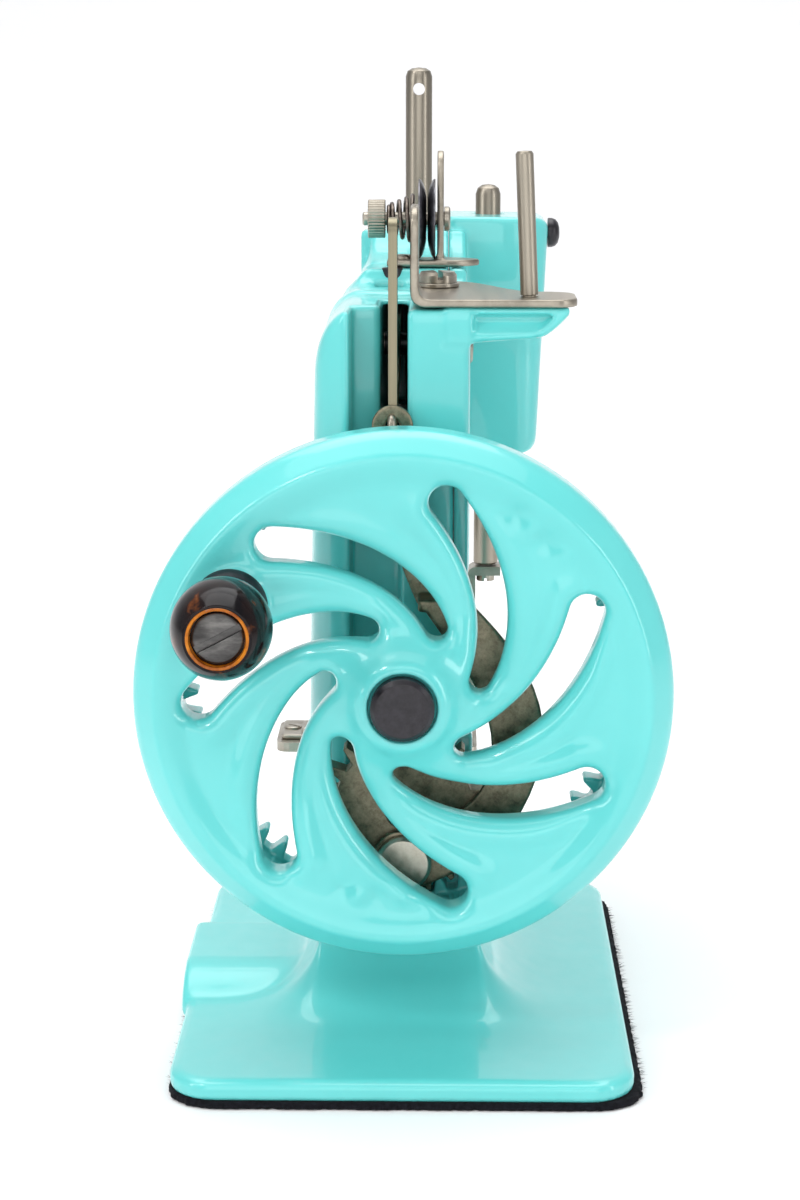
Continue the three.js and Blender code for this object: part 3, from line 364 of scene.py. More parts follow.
def plate(name, axis, points, low, high, edge=0.25):
    """An outline across an axis as a plate. Across X it is (y, z), across Y (x, z)."""
    count = len(points)
    rings = []
    for c in (low, high):
        for a, b in points:
            rings.append([v * MM for v in ((c, a, b) if axis == "x" else (a, c, b))])
    faces = [tuple(range(count)), tuple(range(count, 2 * count))[::-1]]
    for k in range(count):
        n = (k + 1) % count
        faces.append((k, k + count, n + count, n))
    made = finished(name, rings, faces, 0)
    bevel(made, edge)
    return made


def minus(made, *cutters):
    """Cuts other pieces out of one, whose bevel stays a modifier, and removes them."""
    cuts = []
    for cutter in cutters:
        cut = made.modifiers.new("cut", "BOOLEAN")
        cut.object = cutter
        cut.operation = "DIFFERENCE"
        cut.solver = "EXACT"
        made.modifiers.move(len(made.modifiers) - 1, 0)
        cuts.append(cut.name)
    graph = bpy.context.evaluated_depsgraph_get()
    edges = [m for m in made.modifiers if m.type == "BEVEL"]
    for m in edges:
        m.show_viewport = False
    graph.update()
    made.data = bpy.data.meshes.new_from_object(made.evaluated_get(graph))
    for m in edges:
        m.show_viewport = True
    for name in cuts:
        made.modifiers.remove(made.modifiers[name])
    for cutter in cutters:
        bpy.data.objects.remove(cutter)
    smooth(made)
    return made


def hole(axis, centre, radius, low, high, sides=48):
    return turned("cutter", axis, [(radius, low), (radius, high)], centre, sides, 0)


def box_cutter(low, high):
    corners = itertools.product(*zip(low, high))
    faces = [(0, 1, 3, 2), (4, 6, 7, 5), (0, 4, 5, 1), (2, 3, 7, 6), (0, 2, 6, 4), (1, 5, 7, 3)]
    return finished("cutter", [[c * MM for c in p] for p in corners], faces, 0)


def wire(name, points, radius, sides=12):
    """A round wire through points, with flat ends."""
    points = np.array(points, float)
    ahead = np.gradient(points, axis=0)
    ahead /= np.linalg.norm(ahead, axis=1)[:, None]
    side = np.cross(ahead[0], (0.31, 0.87, 0.38))
    rings = []
    for place, direction in zip(points, ahead):
        side = side - direction * (side @ direction)
        side /= np.linalg.norm(side)
        other = np.cross(direction, side)
        for k in range(sides):
            turn = 2 * math.pi * k / sides
            rings.append((place + radius * (side * math.cos(turn) + other * math.sin(turn))) * MM)
    faces = tube_faces(len(points), sides) + end_faces(len(points), sides)
    return finished(name, [list(p) for p in rings], faces, 0)


def coil(name, axis, centre, low, high, turns, radius_at, thick):
    """A spring with closed ends, each a part of a turn."""
    points = []
    for share in np.linspace(0, 1, int(turns * 28)):
        pitch = np.clip((share * turns - CLOSED_TURN) / (turns - 2 * CLOSED_TURN), 0, 1)
        place = low + thick + (high - low - 2 * thick) * (0.06 * share + 0.94 * pitch)
        points.append(around(axis, centre, radius_at(share), 2 * math.pi * turns * share, place))
    return wire(name, points, thick)


# ---- materials ----
def set_shades(ramp, shades):
    while len(ramp.elements) < len(shades):
        ramp.elements.new(0.5)
    for element, (position, color) in zip(ramp.elements, shades):
        element.position = position
        element.color = (*color, 1)


class Finish:
    """A Principled material whose nodes are added in short steps."""

    def __init__(self, name, color, roughness, **sockets):
        self.material = bpy.data.materials.new(name)
        self.material.use_nodes = True
        self.tree = self.material.node_tree
        self.shader = self.tree.nodes["Principled BSDF"]
        self.shader.inputs["Base Color"].default_value = (*color, 1)
        self.shader.inputs["Roughness"].default_value = roughness
        for socket, value in sockets.items():
            self.shader.inputs[socket.replace("_", " ")].default_value = value
        self.place = self.tree.nodes.new("ShaderNodeTexCoord").outputs["Object"]

    def add(self, kind, source, socket, **values):
        """A new node with one input linked and others set."""
        node = self.tree.nodes.new("ShaderNode" + kind)
        self.tree.links.new(source, node.inputs[socket])
        for name, value in values.items():
            node.inputs[name].default_value = value
        return node

    def noise(self, scale, detail=3.0, roughness=0.5, stretch=(1, 1, 1)):
        place = self.add("Mapping", self.place, "Vector", Scale=stretch).outputs["Vector"]
        node = self.add("TexNoise", place, "Vector", Scale=scale, Detail=detail, Roughness=roughness)
        return node.outputs["Fac"]

    def paint(self, field, shades):
        """Colours from a field, as (position, colour) pairs."""
        node = self.add("ValToRGB", field, "Fac")
        set_shades(node.color_ramp, shades)
        self.tree.links.new(node.outputs["Color"], self.shader.inputs["Base Color"])

    def gloss(self, field, low, high):
        """Roughness from low to high over the middle of a noise's range."""
        limits = {"From Min": 0.3, "From Max": 0.7, "To Min": low, "To Max": high}
        node = self.add("MapRange", field, "Value", **limits)
        self.tree.links.new(node.outputs["Result"], self.shader.inputs["Roughness"])

    def bump(self, field, strength, height):
        node = self.add("Bump", field, "Height", Strength=strength, Distance=height * MM)
        self.tree.links.new(node.outputs["Normal"], self.shader.inputs["Normal"])


def speckled(made, marks, shades, gloss, bump, gloss_marks=None, bump_marks=None):
    """Gives a finish noise for its colour, and for its gloss and bump the same noise or their own."""
    field = made.noise(*marks)
    made.paint(field, shades)
    made.gloss(made.noise(*gloss_marks) if gloss_marks else field, *gloss)
    made.bump(made.noise(*bump_marks) if bump_marks else field, *bump)
    return made.material


def enamel():
    made = Finish("turquoise enamel", (0.12, 0.64, 0.62), 0.3, Coat_Weight=0.7, Coat_Roughness=0.035)
    shades = (0.3, (0.11, 0.605, 0.59)), (0.7, (0.13, 0.64, 0.625))
    return speckled(made, (38, 4), shades, (0.29, 0.37), (0.2, 0.12), (260, 2), (55, 2, 0.4))


def nickel():
    made = Finish("nickel plate", (0.42, 0.39, 0.34), 0.28, Metallic=1)
    shades = (0.32, (0.24, 0.21, 0.165)), (0.52, (0.38, 0.35, 0.295)), (0.75, (0.5, 0.47, 0.415))
    return speckled(made, (120, 5, 0.6), shades, (0.28, 0.4), (0.12, 0.03), (420, 4), (900, 3))


def brushed(name, stretch, tone=(0.34, 0.305, 0.25)):
    """A metal with fine lines along the axis that is stretched least."""
    made = Finish(name, tone, 0.34, Metallic=1)
    dark, light = [tuple(share * part for part in tone) for share in (0.62, 1.35)]
    shades = (0.3, dark), (0.5, tone), (0.75, light)
    return speckled(made, (90, 5, 0.7, stretch), shades, (0.3, 0.46), (0.1, 0.03))


def bronzed():
    made = Finish("bronzed steel", (0.22, 0.195, 0.135), 0.42, Metallic=1)
    shades = (0.34, (0.13, 0.115, 0.08)), (0.5, (0.22, 0.195, 0.135)), (0.68, (0.31, 0.275, 0.2))
    return speckled(made, (520, 6, 0.75), shades, (0.32, 0.55), (0.25, 0.04), (260, 4))


def worn_steel():
    made = Finish("worn dark steel", (0.1, 0.097, 0.095), 0.36, Metallic=1)
    shades = (0.32, (0.06, 0.058, 0.057)), (0.5, (0.1, 0.097, 0.095)), (0.7, (0.2, 0.195, 0.185))
    return speckled(made, (330, 5, 0.7, (1, 0.3, 1)), shades, (0.28, 0.46), (0.25, 0.04))


def worn_bronze():
    made = Finish("worn bronze", (0.5, 0.46, 0.38), 0.36, Metallic=1)
    shades = (0.32, (0.4, 0.36, 0.29)), (0.68, (0.62, 0.58, 0.5))
    return speckled(made, (380, 5, 0.7), shades, (0.28, 0.44), (0.2, 0.03))


def blackened():
    coat = {"Coat_Weight": 0.08, "Coat_Roughness": 0.2}
    made = Finish("blackened steel", (0.013, 0.011, 0.015), 0.34, Metallic=0.2, **coat)
    shades = (0.35, (0.007, 0.006, 0.009)), (0.65, (0.019, 0.016, 0.022))
    return speckled(made, (700, 4, 0.6), shades, (0.28, 0.42), (0.12, 0.03), (190, 3))


def knob_resin():
    """Nearly black, with brown and amber flecks."""
    coat = {"Coat_Weight": 0.1, "Coat_Roughness": 0.03}
    made = Finish("knob resin", (0.012, 0.007, 0.007), 0.14, Specular_IOR_Level=0.14, **coat)
    dark = (0.4, (0.003, 0.002, 0.003)), (0.58, (0.011, 0.0045, 0.004))
    shades = (*dark, (0.66, (0.12, 0.035, 0.009)), (0.74, (0.42, 0.14, 0.02)))
    flecks = (150, 4, 0.62, (0.55, 1, 1))
    return speckled(made, flecks, shades, (0.08, 0.18), (0.08, 0.05), (300, 2), (240, 2))


def amber():
    coat = {"Coat_Weight": 0.15, "Coat_Roughness": 0.05}
    made = Finish("knob inlay", (0.55, 0.2, 0.01), 0.24, Specular_IOR_Level=0.2, **coat)
    shades = (0.35, (0.26, 0.06, 0.003)), (0.55, (0.52, 0.16, 0.006)), (0.75, (0.7, 0.28, 0.02))
    return speckled(made, (260, 4, 0.6), shades, (0.12, 0.26), (0.1, 0.04))


def disc_steel():
    made = Finish("tension disc steel", (0.12, 0.12, 0.135), 0.24, Metallic=1)
    shades = (0.3, (0.08, 0.08, 0.095)), (0.7, (0.24, 0.235, 0.25))
    return speckled(made, (420, 4, 0.6), shades, (0.28, 0.36), (0.08, 0.02))


def spring_steel():
    made = Finish("spring wire", (0.12, 0.1, 0.085), 0.32, Metallic=1)
    shades = (0.3, (0.06, 0.05, 0.045)), (0.7, (0.24, 0.2, 0.17))
    return speckled(made, (600, 4, 0.6), shades, (0.28, 0.42), (0.1, 0.02))


def felt():
    sheen = {"Sheen_Weight": 0.04, "Sheen_Roughness": 0.5}
    made = Finish("black felt", (0.006, 0.006, 0.008), 0.95, Specular_IOR_Level=0.1, **sheen)
    shades = (0.35, (0.003, 0.003, 0.004)), (0.7, (0.016, 0.016, 0.022))
    return speckled(made, (900, 6, 0.8), shades, (0.88, 1), (0.9, 0.35), (300, 3))


MATERIALS = {
    "turquoise_enamel": enamel(),
    "nickel_plate": nickel(),
    "bronzed_steel": bronzed(),
    "blackened_steel": blackened(),
    "knob_resin": knob_resin(),
    "spring_wire": spring_steel(),
    "black_felt": felt(),
}
DRAWN_NICKEL = brushed("drawn nickel upright", (1, 1, 0.03))
BRUSHED_NICKEL = brushed("brushed nickel", (0.06, 1, 1))
BRASS = brushed("brushed brass lever", (1, 1, 0.06), (0.25, 0.225, 0.155))


def fit(made, body, slot, *nodes, material=None):
    """Puts a piece on its body, in its material, in place of its CAD nodes."""
    made.data.materials.clear()
    made.data.materials.append(material or MATERIALS[slot])
    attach(made, body)
    if nodes:
        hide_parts(*nodes)
    return made


# ---- castings ----
def arm_top(from_x):
    """The arm's upper outline from the column towards the head."""
    return [
        (from_x, COLUMN_TOP), (-28, COLUMN_TOP),
        *curve([(-28, COLUMN_TOP), (-32, COLUMN_TOP), (-33, ARM_TOP)], 6), (-47, ARM_TOP),
        *curve([(-47, ARM_TOP), (-56, ARM_TOP + 1), (-60, HEAD_TOP)], 8),
    ]


def base_field(x, y, z):
    """A slab, and a flare that rises from it to the pedestal in a hollow curve."""
    outline = flat(rounded_box(-BASE_X, BASE_X, -BASE_Y, BASE_Y, BASE_CORNER), x, y)
    slab = extrude(outline, z, BASE_LOW, 5, 0.9)
    # how far out from the pedestal's sides: left, right, front and back
    left, right, front, back = -46 - x, x - 20, -17 - y, y - 15
    along = np.maximum(np.maximum(left / 13.5, right / 34), 0)
    across = np.maximum(np.maximum(front / 22, back / 22), 0)
    inside = np.maximum(np.maximum(left / 20, right / 20), np.maximum(front / 20, back / 20))
    away = length(along, across) + np.minimum(inside, 0)
    up = (z - 4.6) / 17
    flare = 1 - length(np.maximum(1 - away, 0), np.maximum(1 - up, 0))
    flare = meet(flare * 14, z - 35.5, 3)
    return blend(slab, np.maximum(np.maximum(flare, BASE_LOW + 0.2 - z), outline + 2.5), 2.5)


def clamp_land(x, y, z):
    """The raised land that a table clamp presses on."""
    outline = path((-15, 1.7), (19, 1.7), (18.8, 3.6), ((15.5, 9.4), (7, 10.4)), (-15, 10.4), (-19, 4.5))
    return extrude(flat(outline, x, z), y, -45.8, -20, 1.3)


def column_outline(back):
    """Plan of the column, with a sunk strip in front of the slot."""
    return path(
        (17, back), (-22, back), (-22, -13), ((-22, -20.4), (-12, -20.4)), (0, -20.4),
        ((13, -20.4), (17, -12)), (17, -11), (8.4, -10.5), (7.8, -5), (7.8, -1), (17, -1),
    )


def arm_outline():
    return path(
        (-16, 89), arm_top(-16), (-80, HEAD_TOP), ((HEAD_LEFT, HEAD_TOP), (HEAD_LEFT, 149.5)),
        (HEAD_LEFT, HEAD_LOW), (HEAD_RIGHT, HEAD_LOW), ((-60, 113), (-50, 113)),
        ((-21, 113), (-21, 89)),
    )


def column_field(x, y, z):
    side = path(
        (30, 20), (30, COLUMN_TOP), (-11, COLUMN_TOP), ((-17.2, 143.7), (-18, 134)),
        (-20, COLUMN_STEP), (-20, 20),
    )
    upper = extrude(flat(column_outline(12.5), x, y), z, COLUMN_STEP - 2, COLUMN_TOP, 0.9)
    lower = extrude(flat(column_outline(13.6), x, y), z, 20, COLUMN_STEP, 1.2)
    return meet(np.minimum(upper, lower), flat(side, y, z), 1.5)


def front_head_field(x, y, z):
    side = path(
        (HEAD_LEFT, HEAD_LOW), (HEAD_RIGHT, HEAD_LOW), (HEAD_RIGHT, HEAD_TOP),
        ((HEAD_LEFT, HEAD_TOP), (HEAD_LEFT, 149)),
    )
    return extrude(flat(side, x, z), y, -11, 9.5, 1.2)


def rear_head_field(x, y, z):
    """The box at the back of the head, with one corner cut off at a slant."""
    outline = path(
        (8.4, 106), (24.8, 106), ((28.8, 106), (28.8, 110)), (31, HEAD_TOP),
        ((30.9, 159), (27, 159.2)), (8.4, 159.5),
    )
    head = extrude(flat(outline, y, z), x, HEAD_LEFT, HEAD_RIGHT, 1.2)
    return meet(head, x + 66.3 + (y - 31) * 0.9, 2)


def shelf_field(x, y, z):
    """The shelf under the spool bracket, hollow in its end."""
    outline = path(
        (8, 139.8), (12.5, 139.8), (26, 140.8), ((28, 141), (32, 145.4)), (32, COLUMN_TOP),
        (8, COLUMN_TOP),
    )
    shelf = extrude(flat(outline, y, z), x, -9, 17, 0.7)
    end = [(13.4, 141.2), (25.4, 141.9), (29.4, 145.4), (13.4, 145.4)]
    lean = [(19, 140.6), (17.3, 141), (14.9, 144.2), (14.9, 145.5), (19, 145.5)]
    return carve(shelf, meet(flat(end, y, z), flat(lean, x, z), 0.5), 0.8)


def slot_field(x, y, z):
    """The slot that the needle lever swings in, open to the column's front."""
    mouth = block(x, y, z, (-5, SLOT_Y[0], 100), (30, SLOT_Y[1], 170), 0.4)
    side = [(2, 117), (2, 145.2), (-30, 145.2), (-46, 146.8), (-64, 150.6), (-81.5, 150.6), (-81.5, 116)]
    return np.minimum(mouth, extrude(flat(side, x, z), y, *SLOT_Y))


def shoulder(y, z):
    """The near side of column and arm, leaning in towards the top."""
    outline = path(
        (40, 0), (40, 200), (-9, 200), (-9, 152), ((-9.6, 148.5), (-13.2, 146)),
        ((-19.3, 141.5), (-19.3, 131)), (-20.6, 70), (-20.6, 0),
    )
    return flat(outline, y, z)


def solid_field(x, y, z):
    """Frame and rear cover together, before anything is cut."""
    reach = -11 - 4.5 * ease(x, -58, -20)
    arm = flat(arm_outline(), x, z)
    arm = meet(meet(arm, reach - y, 5), y - 12.5, 1.5)
    bed_arm = block(x, y, z, (-70, -12, 19), (-30, 16, 36), 1.5)
    body = blend(blend(base_field(x, y, z), clamp_land(x, y, z), 1.5), bed_arm, 4)
    body = blend(body, meet(blend(column_field(x, y, z), arm, 2.5), shoulder(y, z), 1.5), 3.5)
    body = np.minimum(body, np.minimum(front_head_field(x, y, z), rear_head_field(x, y, z)))
    return blend(body, shelf_field(x, y, z), 1.2)


def whole_field(x, y, z):
    """The solid casting with its slots and bores, each with how far its edge is rounded."""
    cuts = (
        (slot_field(x, y, z), 0.9),
        (block(x, y, z, (-31.6, -7, 144), (-29.4, -0.9, 160), 0.3), 0.3),
        (rod(x, y, z, NEEDLE, 4.75, 60, 200), 0.6),
        (block(x, y, z, (-83, SEAM, 109), (-65, 25, HEAD_TOP), 1), 0.5),
        (rod(x, y, z, PRESSER, 3.15, 60, 200), 0.4),
        (block(x, y, z, (-90, 16, 118), (-82, 19.2, 134), 0.3), 0.4),
        (rod(x, z, y, LEVER_PIVOT, 5.2, -30, -11), 0.6),
        (rod(y, z, x, (0, PINION_Z), 4.7, -5, 30), 0.8),
        (rod(y, z, x, (0, WHEEL_Z), 4.7, 8, 30), 0.8),
    )
    body = solid_field(x, y, z)
    for cut, edge in cuts:
        body = carve(body, cut, edge)
    return body


def cover_region(x, y, z):
    """Negative where the rear cover is. It reaches the column's wheel side only below z = 112."""
    seam = SEAM + np.clip((x + 22) / 30, 0, 1)
    return np.maximum(np.maximum(seam - y, COLUMN_STEP + 0.3 - z), np.minimum(x + 10.5, z - 112))


def frame_field(x, y, z):
    return meet(whole_field(x, y, z), 0.05 - cover_region(x, y, z), 0.35)


def cover_field(x, y, z):
    return meet(whole_field(x, y, z), cover_region(x, y, z) + 0.05, 0.35)


def make_castings():
    low, high = (HEAD_LEFT, -46, BASE_LOW), (BASE_X, BASE_Y, 157)
    casting = cast("frame_body", frame_field, low, high, 0.8)
    fit(casting, "frame", "turquoise_enamel", "frame_casting")
    low, high = (HEAD_LEFT, SEAM, COLUMN_STEP), (17, 31, 160)
    cover = cast("rear_cover_body", cover_field, low, high, 0.7)
    fit(cover, "frame", "turquoise_enamel", "rear_cover")


# ---- handwheel ----
def slot_line(start, count=26):
    """Middle line of one slot, which winds in from 39 to 15 from the centre, and its half widths."""
    share = np.linspace(0, 1, count)
    radius = 39 - share * 24
    angle = np.radians(start) - np.radians(68) * np.log(41.2 / radius) / np.log(41.2 / 15)
    half = 3.4 - 1.2 * share * share
    return np.stack([radius * np.cos(angle), radius * np.sin(angle), half], 1)


def slot_distance(y, z):
    """Distance from the nearest slot's edge, negative in a slot."""
    nearest = np.inf
    for k in range(WHEEL_SLOTS):
        line = slot_line(81.6 + k * 360 / WHEEL_SLOTS)
        for p, q in zip(line[:-1], line[1:]):
            ey, ez = q[:2] - p[:2]
            t = np.clip(((y - p[0]) * ey + (z - p[1]) * ez) / (ey * ey + ez * ez), 0, 1)
            half = p[2] + t * (q[2] - p[2])
            nearest = np.minimum(nearest, length(y - p[0] - t * ey, z - p[1] - t * ez) - half)
    return nearest


def wheel_field(x, y, z):
    """A dished web with raised edges round its slots, a rim, a hub and a seat for the knob."""
    z = z - WHEEL_Z
    r = length(y, z)
    slots = slot_distance(y, z)
    ridge = np.exp(-(((slots - 3) / 2.3) ** 2)) * (1 - ease(r, 36, 42)) * ease(r, 12, 19)
    front = RIM_FRONT - 5.1 + 3.6 * ease(r, 17, 44) + 1.5 * ease(r, 41, 46.8)
    front = front + 4.2 * (1 - ease(r, 9, 21)) + 0.85 * ridge
    for cy, cz, reach, depth in CASTING_FLAWS:
        front = front - depth * np.exp(-((y - cy) ** 2 + (z - cz) ** 2) / reach**2)
    front = np.minimum(front, RIM_FRONT - 0.95 * np.maximum(r - 47.4, 0))
    back = WEB_BACK - 2 * ease(r, 43.6, 45.4)
    body = meet(np.maximum(x - front, back - x), r - WHEEL_RADIUS, 1.6)
    body = carve(body, slots, 2.4)
    body = blend(body, extrude(r - HUB_RADIUS, x, WEB_BACK, HUB_FRONT, 1.8), 7)
    body = carve(body, rod(y, z, x, (0, 0), 6.6, HUB_FRONT - 1.8, 60), 0.5)
    bore = carve(body, rod(y, z, x, (0, 0), 4.8, 20, 60), 0.3)
    seat = extrude(length(y - KNOB[0], z - KNOB[1] + WHEEL_Z) - 6.8, x, 36, 43.5, 0.6)
    return blend(bore, seat, 2)


def ring_gear_field(x, y, z):
    """A ring with a space cut between each two of its inner teeth."""
    z = z - WHEEL_Z
    step = 2 * math.pi / RING_TEETH
    turn = np.arctan2(z, y) + math.pi / 2
    turn = (turn + step / 2) % step - step / 2
    r = length(y, z)
    a, b = r * np.sin(turn), r * np.cos(turn)
    tip, root = 40.5, 43.7
    wide, narrow = 0.4 * step * tip, 0.2 * step * (root + 0.2)
    half = [(wide, tip - 2.5), (wide, tip), (narrow, root)]
    space = [(-across, up) for across, up in half] + half[::-1]
    ring = extrude(np.maximum(r - 46.8, tip - r), x, GEAR_BACK, WEB_BACK + 0.4, 0.3)
    ring = np.maximum(ring, np.where(r < 44.4, x - GEAR_FRONT, -9))
    return carve(ring, flat(space, a, b), 0.5)


def make_wheel():
    wheel = cast("handwheel_body", wheel_field, (32, -52, WHEEL_Z - 52), (47, 52, WHEEL_Z + 52), 0.6)
    fit(wheel, "wheel", "turquoise_enamel", "handwheel")
    low, high = (GEAR_BACK, -47, WHEEL_Z - 47), (34.4, 47, WHEEL_Z + 47)
    fit(cast("handwheel_teeth", ring_gear_field, low, high, 0.45), "wheel", "turquoise_enamel")
    cap = moved([(5.2, -1.4), (6.1, -0.8), (6.1, 1.6), (5.2, 2.4), (0.01, 2.7)], HUB_FRONT)
    fit(turned("hub_cap_head", "x", cap, (0, WHEEL_Z), 96), "frame", "blackened_steel", "hub_cap")


def knob_profile():
    """The knob from its collar to the recess for its screw."""
    neck = [(2.5, 0), (4.4, 0), (4.75, 0.72), (5.2, 2.4), (6.15, 4.8), (7.45, 7.2), (8.3, 9.12)]
    head = [(8.95, 11.04), (9.28, 12.96), (9.35, 14.4), (9.25, 16.32), (8.9, 18.24), (8.25, 20.16)]
    nose = [(7.6, 21.6), (6.85, 22.8), (6.2, 23.64), (5.75, 23.75), (5.05, 23.6)]
    recess = [(5.05, 21.8), (2.5, 21.8), (2.5, 0)]
    return moved(neck + head + nose + recess, KNOB_X)


def make_knob():
    collar = [(2.4, -4.4), (7.2, -4.4), (7.2, -3.8), (6.6, -2.8), (5.7, -1.5), (5.3, -0.3), (2.4, -0.3)]
    collar = moved([*collar, collar[0]], KNOB_X)
    fit(turned("crank_collar_ring", "x", collar, KNOB), "wheel", "blackened_steel", "crank_collar")
    made = turned("crank_knob_body", "x", knob_profile(), KNOB, 96, 0.1)
    fit(made, "knob", "knob_resin", "crank_knob")
    inlay = [(5.0, 22), (5.65, 22), (5.75, 23.7), (5.55, 23.95), (5.2, 23.85), (5.0, 23.3), (5.0, 22)]
    made = turned("crank_knob_inlay", "x", moved(inlay, KNOB_X), KNOB, 96, 0.08)
    fit(made, "knob", "knob_resin", material=amber())


# ---- gear train and rod ----
def make_screw(name, axis, face, facing, centre, radius, height, shank, depth, turn, dome=0.0):
    """A slotted screw with its head against a face that looks along its axis, or back if facing -1."""
    head = face + facing * height
    chamfer = head - facing * 0.35 * height
    profile = [(shank, face - facing * depth), (shank, face), (radius, face), (radius, chamfer)]
    profile += [(0.88 * radius, head - facing * 0.06 * height), (0.01, head + facing * dome)]
    made = turned(name, axis, profile, centre, 64, 0.1)
    half, reach = radius * 0.14, radius + 1
    low, high = sorted((head - facing * height * 0.7, head + facing * (dome + 1)))
    sides = {
        "x": ((low, -reach, -half), (high, reach, half)),
        "y": ((-reach, low, -half), (reach, high, half)),
        "z": ((-reach, -half, low), (reach, half, high)),
    }
    cutter = box_cutter(*sides[axis])
    middle = {"x": (0, *centre), "y": (centre[0], 0, centre[1]), "z": (*centre, 0)}[axis]
    place = Matrix.Translation(Vector(middle) * MM)
    cutter.matrix_world = place @ Matrix.Rotation(turn, 4, axis.upper())
    return minus(made, cutter)


def fit_nickel(made, *nodes):
    """Fits a plated piece that stays with the frame."""
    fit(made, "frame", "nickel_plate", *nodes)


def pinion_outline():
    """Straight-sided teeth, one of them at the bottom."""
    pitch = MODULE * PINION_TEETH / 2
    tip, root = pitch + MODULE, pitch - 1.27 * MODULE
    step = 2 * math.pi / PINION_TEETH
    tooth = ((root, -0.29 * step), (tip, -0.09 * step), (tip, 0.09 * step), (root, 0.29 * step))
    points = []
    for k in range(PINION_TEETH):
        for radius, turn in tooth:
            angle = -math.pi / 2 + k * step + turn
            points.append((radius * math.cos(angle), PINION_Z + radius * math.sin(angle)))
    return points


def make_gear_train():
    axis = (0, PINION_Z)
    gear = plate("pinion_gear", "x", pinion_outline(), GEAR_BACK, GEAR_FRONT, 0.2)
    fit(minus(gear, hole("x", axis, 3.8, 10, 30)), "pinion", "bronzed_steel", "pinion")
    hub = [(3.8, 18), (7, 18), (7, 20.8), (3.8, 20.8), (3.8, 18)]
    fit(turned("pinion_hub", "x", hub, axis), "pinion", "bronzed_steel")
    shaft = [(3.1, -16), (3.5, -15.5), (3.5, 22.2), (2.9, 22.8)]
    fit(turned("pinion_shaft_bar", "x", shaft, axis), "pinion", "nickel_plate", "pinion_shaft")
    neck = [(2.2, 21), (2.2, 26.2), (3, 26.2), (3, 28.1)]
    head = [(5.5, 28.1), (5.5, 29.2), (4.8, 29.9), (0.01, 30)]
    made = turned("crank_pin_head", "x", neck + head, (0, PIN_Z), 72, 0.15)
    fit(made, "pinion", "bronzed_steel", "crank_pin", material=worn_bronze())


def rod_field(x, y, z):
    """A strap that bows round the hub stud, joggled back to a narrower top with the eye."""
    strap = path(
        (12.6, 91), ((17, 86), (28.4, 76), (27.4, 62)), ((26.6, 50), (18, 39), (11.9, 36.4)),
        (3, PIN_Z - 5.65), arc(0, PIN_Z, 6.4, -62, -252, 18), ((8, 45), (17.4, 50), (17.3, 61)),
        ((17.2, 72), (10, 80), (2.6, 91)),
    )
    top = path(
        (12.6, 88.4), (2.6, 88.4), ((-4.6, 104), (-6.45, EYE_Z)),
        arc(LEVER_Y, EYE_Z, 4.05, 180, 0, 16), ((3.4, 108), (12.6, 88.4)),
    )
    low = extrude(flat(strap, y, z), x, 26.2, 27.8, 0.3)
    high = extrude(flat(top, y, z), x, 18.2, 19.8, 0.3)
    step = block(x, y, z, (18.2, 2.7, 88.6), (27.8, 12.5, 91), 0.5)
    body = np.minimum(np.minimum(low, high), step)
    body = carve(body, rod(y, z, x, (0, PIN_Z), 3.3, 20, 30, 0), 0.2)
    return carve(body, rod(y, z, x, (LEVER_Y, EYE_Z), 1.35, 10, 24, 0), 0.2)


def make_rod():
    made = cast("connecting_rod_strap", rod_field, (18.2, -7, 31), (27.8, 28, 128), 0.45)
    fit(made, "rod", "bronzed_steel", "connecting_rod")
    bend = [(18.4, 125), *curve([(18.4, 125), (21.3, 126.5), (21.5, 124.2)], 9), (21.5, 121.6)]
    made = wire("rod_top_pin_hook", [(x, LEVER_Y - 0.1, z) for x, z in bend], 0.82, 20)
    fit(made, "rod", "nickel_plate", "rod_top_pin")


# ---- bars, lever, brackets ----
def make_bars():
    profile = [(2.6, 82), (3, 82.4), (3, 190), (2.6, 191.2), (1.6, 191.8), (0.01, 192)]
    bar = turned("needle_bar_shaft", "z", profile, NEEDLE, 96, 0.1)
    minus(bar, hole("x", (NEEDLE[1], 187.2), 1.35, NEEDLE[0] - 5, NEEDLE[0] + 5))
    fit(bar, "needle_bar", "nickel_plate", "needle_bar", material=DRAWN_NICKEL)
    profile = [(2.5, 78), (2.85, 78.4), (2.85, 163.8), (2.4, 165.1), (1.4, 165.8), (0.01, 166)]
    bar = turned("presser_bar_shaft", "z", profile, PRESSER, 96, 0.1)
    fit(bar, "presser", "nickel_plate", "presser_bar", material=DRAWN_NICKEL)


def make_spool_pin():
    """The pin, which leans a little towards the back."""
    profile = [(1.3, 0), (1.3, 1.6), (1.75, 1.65), (1.75, 28.9), (1.4, 29.4), (0.01, 29.5)]
    made = turned("spool_pin_bar", "z", profile, (0, 0), 64, 0.08)
    turn = Matrix.Rotation(math.radians(2.6), 4, "X")
    turn.translation = Vector((*SPOOL_PIN, COLUMN_TOP + 0.35)) * MM
    made.data.transform(turn)
    fit(made, "frame", "nickel_plate", "spool_pin", material=DRAWN_NICKEL)


